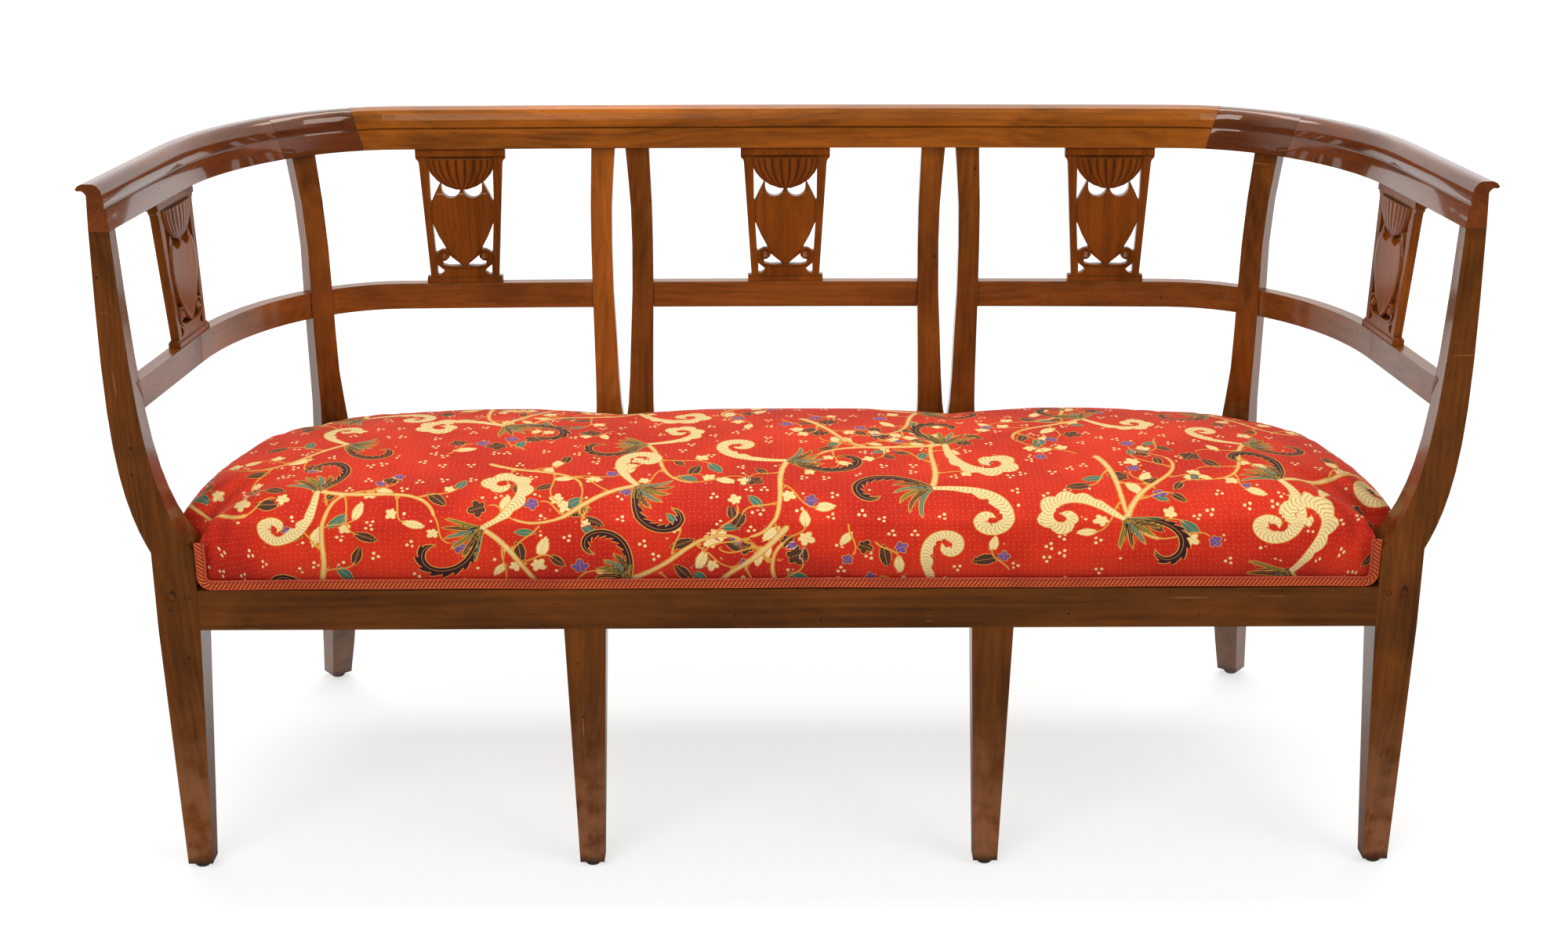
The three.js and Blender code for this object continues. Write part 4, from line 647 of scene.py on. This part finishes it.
# each cloth point keeps its place in the frame of its nearest plume, stem and leaf, from which the shader draws
# their edges; where Near doesn't agree with the place, two of them were mixed
class Print:
    kinds = {"plume": ("Share", "Side", "Wide", "Kind"), "stem": ("Side", "Wide"),
             "leaf": ("Ahead", "Aside", "Size", "Kind")}
    far = 0.06
    margins = {"plume": 0.03, "stem": 0.02, "leaf": 0.035}

    def __init__(self, cloth):
        self.cloth = cloth
        self.kept = {}
        for kind, places in self.kinds.items():
            for place in ("Near", "Past") + places:
                distance = place in ("Near", "Past", "Side", "Ahead", "Aside")
                self.kept[kind + place] = np.full(len(cloth), self.far if distance else 0.0)

    def around(self, kind, points):
        low, high = points.min(0) - self.margins[kind], points.max(0) + self.margins[kind]
        return np.flatnonzero(np.all((self.cloth > low) & (self.cloth < high), 1))

    # keeps what is nearer than what was there, measured past its own edge
    def keep(self, kind, where, near, reach, **places):
        places.update(Near=near, Past=near - reach)
        nearer = places["Past"] < self.kept[kind + "Past"][where]
        for place, values in places.items():
            stored = self.kept[kind + place]
            stored[where] = np.where(nearer, values, stored[where])

    # half-width: slim at the root, widest at seven tenths, round at the tip
    def plume(self, kind, path, wide, root=0.4):
        where = self.around("plume", path)
        share, side, near = acrossPath(self.cloth[where], path)
        taper = wide * (root + (1 - root) * np.sin(np.minimum(share / 0.7, 1) * np.pi / 2))
        taper = taper * np.sqrt(np.clip(1 - share ** 7, 0.02, 1))
        self.keep("plume", where, near, taper, Share=share, Side=side, Wide=taper, Kind=kind)

    def stem(self, path, wide):
        where = self.around("stem", path)
        share, side, near = acrossPath(self.cloth[where], path)
        self.keep("stem", where, near, wide, Side=side, Wide=wide * (1 - 0.55 * share))

    def leaf(self, kind, centre, heading, size):
        centre = np.array(centre)
        where = self.around("leaf", centre[None])
        reach = self.cloth[where] - centre
        ahead = reach @ np.array([math.cos(heading), math.sin(heading)])
        aside = reach @ np.array([-math.sin(heading), math.cos(heading)])
        self.keep("leaf", where, np.hypot(ahead, aside), size, Ahead=ahead, Aside=aside, Size=size, Kind=kind)


# the motifs stand on shifted columns; curls are the turn and the faster turn of a path
printed = {
    "seed": 31, "columns": range(-5, 6), "rows": range(-3, 4), "column": 0.192, "row": 0.150, "jitter": 0.022,
    "heading": (0.6, 2.1), "tilt": 0.6, "sizes": (0.8, 1.12),
    "plumeLength": 0.185, "plumeWidth": 0.0098, "plumeCurl": (-0.9, -6.4),
    "tailTurn": 2.3, "tailLength": 0.8, "tailWidth": 0.66, "tailCurl": (1.4, 3.4), "tailRoot": 0.5,
    "blades": 6, "bladeTurn": 0.36, "bladeLength": 0.046, "bladeWidth": 0.0032, "bladeCurl": (0.5, 0.6),
    "bladeRoot": 0.9,
    "branchTurn": 1.25, "branchLength": 0.17, "branchWidth": 0.0036, "branchCurl": (1.2, -2.2),
    "forks": (9, 17, 26, 34, 43), "forkTurn": 0.95, "lastTurn": 0.2, "sprigs": (0.035, 0.07),
    "sprigCurl": (1.5, -2.4), "tendril": 0.0006, "leaf": 0.0105, "leafTurn": 0.9, "leafSizes": (0.75, 1.15),
    "fillers": 520, "fillerGap": 0.026, "fillerSize": 0.006, "fillerSprigs": (0.03, 0.05),
}
# kinds of leaf: 0 cream lobed, 1 dark pointed, 2 teal pointed, 3 violet blossom, 4 cream pointed, 5 dark lobed
largeLeaf, largeShare = 5, 1.35
forkLeaves = ((1, 0, 2), (0, 3, 4), (2, 1, 0), (4, 5, 3), (0, 4, 1))


def drawPrint(cloth, p):
    art = Print(cloth)
    rng = np.random.default_rng(p["seed"])

    def sprig(start, heading, length, hand, leaves, kinds):
        path = curlPath(start, heading, length, p["sprigCurl"], hand, 24)
        art.stem(path, p["tendril"])
        for k in range(leaves):
            at = int((k + 1) * (len(path) - 1) / leaves)
            turn = (0.0 if k == leaves - 1 else p["leafTurn"]) * (1 if k % 2 else -1)
            heading = headingAt(path, at) + turn
            kind = kinds[k % len(kinds)]
            size = p["leaf"] * rng.uniform(*p["leafSizes"]) * (largeShare if kind == largeLeaf else 1.0)
            art.leaf(kind, path[at] + np.array([math.cos(heading), math.sin(heading)]) * size, heading, size)

    def plumes(base, heading, hand, size):
        length = p["plumeLength"] * size
        art.plume(0, curlPath(base, heading, length, p["plumeCurl"], hand), p["plumeWidth"] * size)
        tail = curlPath(base, heading + p["tailTurn"] * hand, length * p["tailLength"], p["tailCurl"], hand)
        art.plume(1, tail, p["plumeWidth"] * p["tailWidth"] * size, p["tailRoot"])
        for k in range(p["blades"]):
            blade = heading + math.pi + (k - (p["blades"] - 1) / 2) * p["bladeTurn"]
            curls = (p["bladeCurl"][0] * hand, p["bladeCurl"][1])
            path = curlPath(base, blade, p["bladeLength"] * size, curls, count=8)
            art.plume(2 + k % 3, path, p["bladeWidth"], p["bladeRoot"])

    def branch(base, heading, hand, size, column):
        path = curlPath(base, heading + p["branchTurn"] * hand, p["branchLength"] * size, p["branchCurl"], hand)
        art.stem(path, p["branchWidth"] * size)
        for k, at in enumerate(p["forks"]):
            turn = p["lastTurn"] if at == p["forks"][-1] else p["forkTurn"] * (1 if k % 2 else -1)
            kinds = forkLeaves[(k + column) % len(forkLeaves)]
            sprig(path[at], headingAt(path, at) + turn, rng.uniform(*p["sprigs"]), -hand, 3 if k % 2 else 2, kinds)

    for column in p["columns"]:
        for row in p["rows"]:
            base = np.array([column * p["column"], row * p["row"] + (column % 2) * p["row"] / 2])
            base = base + rng.uniform(-1, 1, 2) * p["jitter"]
            first, each = p["heading"]
            heading = (first + each * ((column + 2 * row) % 3)) + rng.uniform(-1, 1) * p["tilt"]
            hand = 1 if rng.random() < 0.5 else -1
            size = rng.uniform(*p["sizes"])
            if (column + 2 * row) % 4:
                plumes(base, heading, hand, size)
            branch(base, heading, hand, size, column)

    # small sprigs where the cloth is still bare
    for spot in rng.uniform(cloth.min(0), cloth.max(0), (p["fillers"], 2)):
        close = np.abs(cloth - spot).sum(1) < p["fillerSize"]
        if close.any() and min(art.kept[kind + "Past"][close].min() for kind in art.kinds) > p["fillerGap"]:
            kinds = [int(k) for k in rng.permutation([0, 1, 2, 3, 4, 5])]
            sprig(spot, rng.uniform(0, math.tau), rng.uniform(*p["fillerSprigs"]), 1, 3, kinds)
    return art


cloth = clothPlane(pointsOf(pad), clothFolds)
art = drawPrint(cloth, printed)
addAttribute(pad, "clothU", cloth[:, 0])
addAttribute(pad, "clothV", cloth[:, 1])
for place, values in art.kept.items():
    if not place.endswith("Past"):
        addAttribute(pad, place, values)
print("print drawn")

dyes = {
    "field": tint(214, 48, 18), "fieldDeep": tint(188, 32, 14), "cream": tint(238, 212, 150),
    "ochre": tint(214, 150, 60), "dark": tint(50, 22, 30), "teal": tint(22, 112, 100),
    "violet": tint(98, 66, 140), "green": tint(92, 100, 40), "spot": tint(240, 140, 70),
    "barb": tint(164, 116, 52), "slub": tint(90, 20, 12), "tuck": tint(96, 8, 4), "pull": tint(110, 20, 16),
}
leafDyes = ("cream", "dark", "teal", "violet", "cream", "dark")
plumeDyes = ("cream", "dark", "green", "dark", "teal")
# how the print is drawn, mostly in metres: an edge fades between two distances from the motif's own edge
ink = {
    "fill": (-0.0004, 0.0002), "leafRim": (0.0007, 0.0013), "stemRim": (0.0004, 0.0009),
    "plumeRim": (0.0008, 0.0014), "pith": (-0.0012, -0.0008), "mixed": (0.0022, 0.003), "away": 0.05,
    "rib": (0.0002, 0.0006), "quill": (0.0002, 0.0008), "veinEdge": (-0.0022, -0.0012),
    "barbEdge": (-0.0016, -0.0008), "speckScale": 150.0, "speck": (0.06, 0.11), "trioScale": 28.0,
    "trioReach": 0.0040, "trioDot": (0.0017, 0.0023), "threads": 6200, "seamShadeHigh": (0.378, 0.420),
    "cornerShadePlace": (0.70, 0.235), "cornerShadeReach": (0.015, 0.085),
}


# 1 where a kind's number is this number or more
def atLeast(kind, number):
    return kind.step(number - 0.6, number - 0.4)


# where two motifs were mixed, the kept distance is longer than the kept place says
def isReal(near, place):
    return 1 - (near - place).step(*ink["mixed"])


# rows of small specks, and trios of dots turned at random, clear of the motifs
def dotted(f, flat, drawn, colour, d):
    plumeNear, stemNear, leafNear = (drawn[kind + "Near"] for kind in ("plume", "stem", "leaf"))
    clear = (plumeNear - 0.004).least(stemNear + 0.004).least(leafNear - 0.003).step(0.008, 0.011)
    nearClear = stemNear.step(0.004, 0.005) * leafNear.step(0.013, 0.014)
    small = f.cells(flat, ink["speckScale"], 0.4)
    colour = f.mix((1 - small.step(*ink["speck"])) * nearClear * 0.7, colour, d["spot"])
    where = f.cells(flat, ink["trioScale"], 0.8, output="Position")
    chance = f.along(Flow(f, where.plug.node.outputs["Color"]), (math.tau, 0, 0))
    offset = f.node("VectorMath", {"operation": "SUBTRACT"}, {0: flat, 1: where})
    offU, offV = f.along(offset, right), f.along(offset, inward)
    for third in range(3):
        angle = chance + third * math.tau / 3
        dotU, dotV = offU - angle.cosine() * ink["trioReach"], offV - angle.sine() * ink["trioReach"]
        reach = (dotU * dotU + dotV * dotV).root()
        colour = f.mix((1 - reach.step(*ink["trioDot"])) * clear, colour, d["cream"])
    return colour


# lobed leaves: radius = size * (0.45 |cos 2.5 turn| + 0.6) * (0.25 cos turn + 0.8); pointed ones:
# (|cos turn| / 1.35)^1.5 + (|sin turn| / 0.6)^1.5 = (size / radius)^1.5, with a toothed rim
def leafed(f, drawn, colour, d, grow):
    ahead, aside, kind = drawn["leafAhead"], drawn["leafAside"], drawn["leafKind"]
    turn = f.node("Math", {"operation": "ARCTAN2"}, {0: aside, 1: ahead})
    lobed = (abs((turn * 2.5).cosine()) * 0.45 + 0.6) * (turn.cosine() * 0.25 + 0.8)
    pointed = ((abs(turn.cosine()) / 1.35) ** 1.5 + (abs(turn.sine()) / 0.6) ** 1.5) ** -0.667
    pointed = pointed * ((turn * 17).sine() * 0.07 + 1)
    isPointed = (atLeast(kind, 1) * (1 - atLeast(kind, 3))).most(atLeast(kind, 4) * (1 - atLeast(kind, 5)))
    rim = drawn["leafSize"] * (isPointed * pointed + (1 - isPointed) * lobed)
    radius = (ahead * ahead + aside * aside).root()
    real = isReal(drawn["leafNear"], radius)
    edge = (radius - rim + grow * 0.001) * real + (1 - real) * ink["away"]
    tone = d[leafDyes[0]]
    for number, dye in enumerate(leafDyes[1:], 1):
        tone = f.mix(atLeast(kind, number), tone, d[dye])
    # a midrib with side veins
    rib = (abs(aside) * 1.2 - ahead) * 1900
    veins = (1 - abs(aside).step(*ink["rib"])).most(rib.sine().step(0.72, 0.95) * 0.7)
    tone = f.mix(veins * (1 - edge.step(*ink["veinEdge"])) * 0.6, tone, d["ochre"])
    colour = f.mix(1 - edge.step(*ink["leafRim"]), colour, d["ochre"])
    return f.mix(1 - edge.step(*ink["fill"]), colour, tone)


# stems are ochre with a paler heart
def stemmed(f, drawn, colour, d, grow):
    side, wide = abs(drawn["stemSide"]), drawn["stemWide"]
    real = isReal(drawn["stemNear"], side)
    edge = side - wide + grow * 0.0014 * wide.step(0.0008, 0.002)
    colour = f.mix((1 - edge.step(*ink["stemRim"])) * real, colour, d["ochre"])
    return f.mix((1 - edge.step(*ink["pith"])) * real * 0.6, colour, d["cream"])


# plumes: lobes on the outer side and barbs across the cream ones, saw teeth and a quill on the dark ones
def plumed(f, drawn, colour, d, grow):
    share, signed, wide, kind = (drawn["plume" + place] for place in ("Share", "Side", "Wide", "Kind"))
    side = abs(signed)
    real = isReal(drawn["plumeNear"], side)
    outer = (signed * -1).step(-0.0005, 0.0005)
    cream = 1 - atLeast(kind, 1)
    fan = share * (math.pi * 8)
    scallop = abs(fan.sine()) * outer * cream * share.step(0.1, 0.4) * 0.75
    saw = (share * 12).rest() * (1 - cream) * wide.step(0.0034, 0.0040) * (1 - outer) * 0.9
    edge = side - wide * (scallop + saw + 0.72) + grow * 0.0008
    tone = f.mix(cream, d[plumeDyes[1]], d[plumeDyes[0]])
    for number, dye in enumerate(plumeDyes[2:], 2):
        tone = f.mix(atLeast(kind, number), tone, d[dye])
    barbs = (fan * 9 + side * 700).sine().step(0.3, 0.9) * cream
    tone = f.mix(barbs * (1 - edge.step(*ink["barbEdge"])) * 0.6, tone, d["barb"])
    quill = (1 - side.step(*ink["quill"])) * (1 - cream)
    tone = f.mix(quill * 0.5, tone, d["ochre"])
    colour = f.mix((1 - edge.step(*ink["plumeRim"])) * real, colour, d["ochre"])
    return f.mix((1 - edge.step(*ink["fill"])) * real, colour, tone)


def printedCotton(d):
    f = Finish("printedCotton", Sheen_Weight=0.08, Sheen_Roughness=0.5, Specular_IOR_Level=0.15)
    f.shader.inputs["Sheen Tint"].default_value = (1.0, 0.6, 0.35, 1)
    u, v = f.attribute("clothU"), f.attribute("clothV")
    drawn = {kind + place: f.attribute(kind + place) for kind, places in Print.kinds.items()
           for place in ("Near",) + places}
    flat = f.point(u, v, 0.0)
    wander = f.noise(flat, 7.0, 3.0)
    grow = f.noise(flat, 160.0, 1.0) - 0.5
    colour = f.mix(wander.step(0.35, 0.7), d["fieldDeep"], d["field"])
    colour = dotted(f, flat, drawn, colour, d)
    for draw in (leafed, stemmed, plumed):
        colour = draw(f, drawn, colour, d, grow)

    # the weave and its slubs
    threads = (u * ink["threads"]).sine() * (v * ink["threads"]).sine()
    slub = f.noise(f.point(u * 40, v * 900, 0.0), 1.0, 2.0) + f.noise(f.point(u * 900, v * 40, 0.0), 1.0, 2.0)
    colour = f.mix(slub.step(0.75, 1.3) * 0.10, colour, d["slub"])
    # painted shade: darker low down where the cover is tucked under along the braid, and where it is pulled round
    # the front posts
    high = f.along(f.place(), upward) + (wander - 0.5) * 0.012
    # painted shade along the braid, from the cushion's overhang
    colour = f.mix((1 - high.step(*ink["seamShadeHigh"])) * 0.5, colour, d["tuck"], "MULTIPLY")
    # painted shade with painted crease lines where the cover is pulled round the front posts
    cornerU, cornerV = abs(u) - ink["cornerShadePlace"][0], v + ink["cornerShadePlace"][1]
    pull = 1 - (cornerU * cornerU + cornerV * cornerV * 0.5).root().step(*ink["cornerShadeReach"])
    creaseShade = ((cornerU + cornerV * 0.7) * 210 + wander * 5).sine() * 0.3 + 0.7
    colour = f.mix(pull * creaseShade * 0.55, colour, d["pull"], "MULTIPLY")
    return f.to(Base_Color=colour, Roughness=0.6 + slub * 0.14,
                Normal=f.bump(threads * 0.5 + slub, 0.00015, 0.5))


dress(pad, printedCotton(dyes))
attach(pad, "root")
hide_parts("seat_cushion")
print("cushion finished")


# braid: a woven ribbon with a slanting cord between two stitched edges, carried along a path
braid = {
    "halfWidth": 0.0062, "cord": 0.0009, "base": 0.0011, "edgeBase": 0.3, "slant": 0.0050, "lean": 0.9,
    "relief": 0.00022, "corner": 0.011, "step": 0.0012, "leastSteps": 8,
    "wave": 0.0011, "waveEnd": 0.05, "frontOf": -0.27, "every": 6, "window": 9, "nearby": (0.007, 0.008),
    "readings": 60, "slice": 0.0006, "sink": 0.0019, "sideTail": [(0.6590, 0.112), (0.6505, 0.122), (0.6402, 0.133)],
    "rearBack": 0.1601, "rearHigh": (0.365, 0.405), "rearDeep": 0.004, "endGap": 0.0006,
}
# around the ribbon: across (-1 low edge to 1 high edge) and how proud the cord and edges stand there
braidAcross = np.array([-1.0, -0.96, -0.84, -0.72, -0.55, -0.3, 0.0, 0.3, 0.55, 0.72, 0.84, 0.96, 1.0])
braidProud = np.array([0.0, 0.7, 0.95, 0.35, 0.6, 0.95, 1.0, 0.95, 0.6, 0.35, 0.95, 0.7, 0.0])


def lengthAlong(path):
    return np.concatenate([[0], np.cumsum(np.linalg.norm(np.diff(path, axis=0), axis=1))])


def unit(vectors):
    return vectors / np.linalg.norm(vectors, axis=1)[:, None]


# points along a path are set at even steps
def evenPath(path, c):
    along = lengthAlong(path)
    places = np.linspace(0, along[-1], max(int(along[-1] / c["step"]), c["leastSteps"]))
    return np.stack([np.interp(places, along, path[:, k]) for k in range(3)], 1)


# point = centre + across * w + outward * proud(w) with the cord's slanting twists, closed by a flat back
def braidRibbon(name, path, outward, node, c):
    count, around = len(path), len(braidAcross) + 1
    along = lengthAlong(path)
    across = unit(np.cross(unit(np.gradient(path, axis=0)), outward))
    w = np.append(braidAcross, 0.0)
    twist = np.sin(math.tau * (along[:, None] / c["slant"] + w[None] * c["lean"])) * (np.abs(w) < 0.8)
    proud = c["base"] + c["cord"] * np.append(braidProud, 0.0)[None] + c["relief"] * twist
    proud[:, [0, -2]] = c["base"] * c["edgeBase"]
    proud[:, -1] = 0.0
    points = (path[:, None] + across[:, None] * (w * c["halfWidth"])[None, :, None]
              + outward[:, None] * proud[:, :, None])
    ring, turn = np.meshgrid(np.arange(count - 1), np.arange(around), indexing="ij")
    following = (turn + 1) % around
    faces = np.stack([ring * around + turn, ring * around + following,
                      (ring + 1) * around + following, (ring + 1) * around + turn], -1).reshape(-1, 4)
    ends = [list(range(around))[::-1], list(range((count - 1) * around, count * around))]
    mesh = bpy.data.meshes.new(name)
    mesh.from_pydata(points.reshape(-1, 3), [], faces.tolist() + ends)
    work = bmesh.new()
    work.from_mesh(mesh)
    bmesh.ops.recalc_face_normals(work, faces=work.faces)
    work.to_mesh(mesh)
    work.free()
    shadeSmooth(mesh)
    item = newObject(name, mesh)
    addAttribute(item, "braidAlong", np.repeat(along, around))
    addAttribute(item, "braidAcross", np.tile(w, count))
    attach(item, "root")
    if node:
        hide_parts(node)
    item.data.materials.append(braidCloth)


# the front braid: up the left post, round a corner, along the rail in slow waves, and up the right post
def frontBraidPath(c):
    low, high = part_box("seat_braid_front")
    half = high.x - c["halfWidth"]
    middle = low.z + c["halfWidth"]
    turn = np.linspace(0, math.pi / 2, 9)
    left = np.stack([-half + c["corner"] * (1 - np.cos(turn)), middle + c["corner"] * (1 - np.sin(turn))], 1)
    outline = np.vstack([[-half, high.z], left, left[::-1] * (-1, 1), [half, high.z]])
    path = evenPath(np.stack([outline[:, 0], np.zeros(len(outline)), outline[:, 1]], 1), c)
    # wave = 0.5 + 0.3 sin(13 x + 1.1) + 0.2 sin(31 x + 0.4), dying out towards the posts
    x = path[:, 0]
    wave = 0.5 + 0.3 * np.sin(x * 13 + 1.1) + 0.2 * np.sin(x * 31 + 0.4)
    path[:, 2] += c["wave"] * wave * np.clip((half - np.abs(x)) / c["waveEnd"], 0, 1)
    # it lies on the cushion's front: the foremost cushion point near each place
    points = pointsOf(pad)
    points = points[(points[:, 1] < c["frontOf"]) & (points[:, 2] < high.z + 0.01)]
    every, window = c["every"], c["window"]
    aside = np.abs(points[None, :, 0] - x[::every, None]) < c["nearby"][0]
    above = np.abs(points[None, :, 2] - path[::every, None, 2]) < c["nearby"][1]
    front = np.where(aside & above, points[None, :, 1], high.y).min(1)
    front = np.convolve(np.pad(front, window // 2, "edge"), np.ones(window) / window, "valid")
    places = np.arange(len(path))
    path[:, 1] = np.minimum(np.interp(places, places[::every], front), high.y)
    return path, np.tile((0.0, -1.0, 0.0), (len(path), 1))


# a side braid follows the outer face of its CAD strip, read at each corner, and runs on to the corner post
def sideBraidPath(node, c):
    points = pointsOf(nodes[node])
    side = 1 if points[:, 0].mean() > 0 else -1
    places = np.unique(points[:, 1].round(4))
    edge = np.array([[(points[np.abs(points[:, 1] - y) < c["slice"], 0] * side).max() * side, y] for y in places])
    edge = np.vstack([edge[:-1], [(x * side, y) for x, y in c["sideTail"]]])
    smoothY = np.linspace(edge[0, 1], edge[-1, 1], c["readings"])
    outline = np.stack([np.interp(smoothY, edge[:, 1], edge[:, 0]), smoothY,
                        np.full(c["readings"], points[:, 2].min() + c["halfWidth"])], 1)
    path = evenPath(outline, c)
    tangent = np.gradient(path, axis=0)
    outward = unit(np.stack([tangent[:, 1], -tangent[:, 0], np.zeros(len(path))], 1) * side)
    return path - outward * c["sink"], outward


# the rear braid lies on the rear rail in three lengths, between the posts
def rearBraidPaths(c):
    ends = [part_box("back_post_left_outer")[0].x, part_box("back_post_left_inner")[1].x]
    corner = pointsOf(nodes["corner_post_left"])
    atBraid = (corner[:, 2] > c["rearHigh"][0]) & (corner[:, 2] < c["rearHigh"][1])
    inside = corner[atBraid & (corner[:, 1] > c["rearBack"] - c["rearDeep"]), 0].max()
    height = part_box("seat_braid_left")[0].z + c["halfWidth"]
    for start, end in ((inside, ends[0]), (ends[1], -ends[1]), (-ends[0], -inside)):
        x = np.linspace(start + c["endGap"], end - c["endGap"], int((end - start) / c["step"]))
        path = np.stack([x, np.full(len(x), c["rearBack"]), np.full(len(x), height)], 1)
        yield path, np.tile((0.0, 1.0, 0.0), (len(path), 1))


# the cord's slanting lines, redder on the low half, and two pink edges with a stitch every two millimetres
braidDyes = {
    "cord": (tint(126, 20, 10), tint(206, 96, 34)), "low": tint(126, 18, 10),
    "edge": (tint(142, 26, 16), tint(214, 98, 66)), "stitch": 0.0021, "edgeAt": (0.72, 0.8),
    "faded": tint(120, 24, 12), "fuzz": tint(228, 140, 84),
}


def braidFinish(c, d):
    f = Finish("braid", Roughness=0.7, Specular_IOR_Level=0.25)
    along, across = f.attribute("braidAlong"), f.attribute("braidAcross")
    fuzz = f.noise(f.place(), 900.0, 2.0)
    lines = ((along / c["slant"] + across * c["lean"]) * math.tau).sine()
    colour = f.mix(lines.step(-0.5, 0.5), *d["cord"])
    colour = f.mix((1 - across.step(-0.6, 0.0)) * 0.5, colour, d["low"])
    stitch = ((along / d["stitch"] + across * 0.5) * math.tau).sine().step(-0.4, 0.4)
    colour = f.mix(abs(across).step(*d["edgeAt"]), colour, f.mix(stitch, *d["edge"]))
    faded = f.noise(f.place(), 14.0, 2.0).step(0.4, 0.7)
    colour = f.mix(faded * 0.35, colour, d["faded"])
    colour = f.mix(fuzz.step(0.4, 0.8) * 0.12, colour, d["fuzz"])
    height = lines * (1 - abs(across).step(0.6, 0.7)) + fuzz * 0.4
    return f.to(Base_Color=colour, Normal=f.bump(height, 0.00035, 0.7))


braidCloth = braidFinish(braid, braidDyes)
braidRibbon("front_braid", *frontBraidPath(braid), "seat_braid_front", braid)
for hand in ("left", "right"):
    braidRibbon("side_braid_" + hand, *sideBraidPath("seat_braid_" + hand, braid), "seat_braid_" + hand, braid)
for bay, (path, outward) in zip(("left", "centre", "right"), rearBraidPaths(braid)):
    braidRibbon("rear_braid_" + bay, path, outward, None, braid)
print("braid laid")


# webbing and glides
webbing = {"thread": 0.0022, "weave": (tint(150, 126, 92), tint(196, 172, 132)), "fuzz": tint(120, 98, 70)}
glides = {"metal": tint(116, 108, 98), "rust": tint(74, 48, 34)}


def webbingFinish(c):
    f = Finish("webbing", Roughness=0.85)
    spot = f.place()
    warp, weft = ((f.along(spot, way) * (math.tau / c["thread"])).sine() for way in (right, inward))
    weave = warp * weft
    fuzz = f.noise(spot, 500.0, 3.0)
    colour = f.mix(weave.step(-0.6, 0.6), *c["weave"])
    colour = f.mix(fuzz.step(0.3, 0.8) * 0.35, colour, c["fuzz"])
    return f.to(Base_Color=colour, Normal=f.bump(weave + fuzz * 0.5, 0.0004, 0.8))


def glideFinish(c):
    f = Finish("glide", Metallic=1.0)
    rust = f.noise(f.place(), 160.0, 4.0)
    colour = f.mix(rust.step(0.42, 0.62), c["metal"], c["rust"])
    return f.to(Base_Color=colour, Roughness=0.35 + rust * 0.4, Metallic=1 - rust.step(0.45, 0.62) * 0.8,
                Normal=f.bump(rust, 0.0003, 0.5))


trimFinishes = {"webbing": webbingFinish(webbing), "glide": glideFinish(glides)}
for name, item in nodes.items():
    if slotOf.get(name) in trimFinishes:
        dress(item, trimFinishes[slotOf[name]])
print("trim finished")
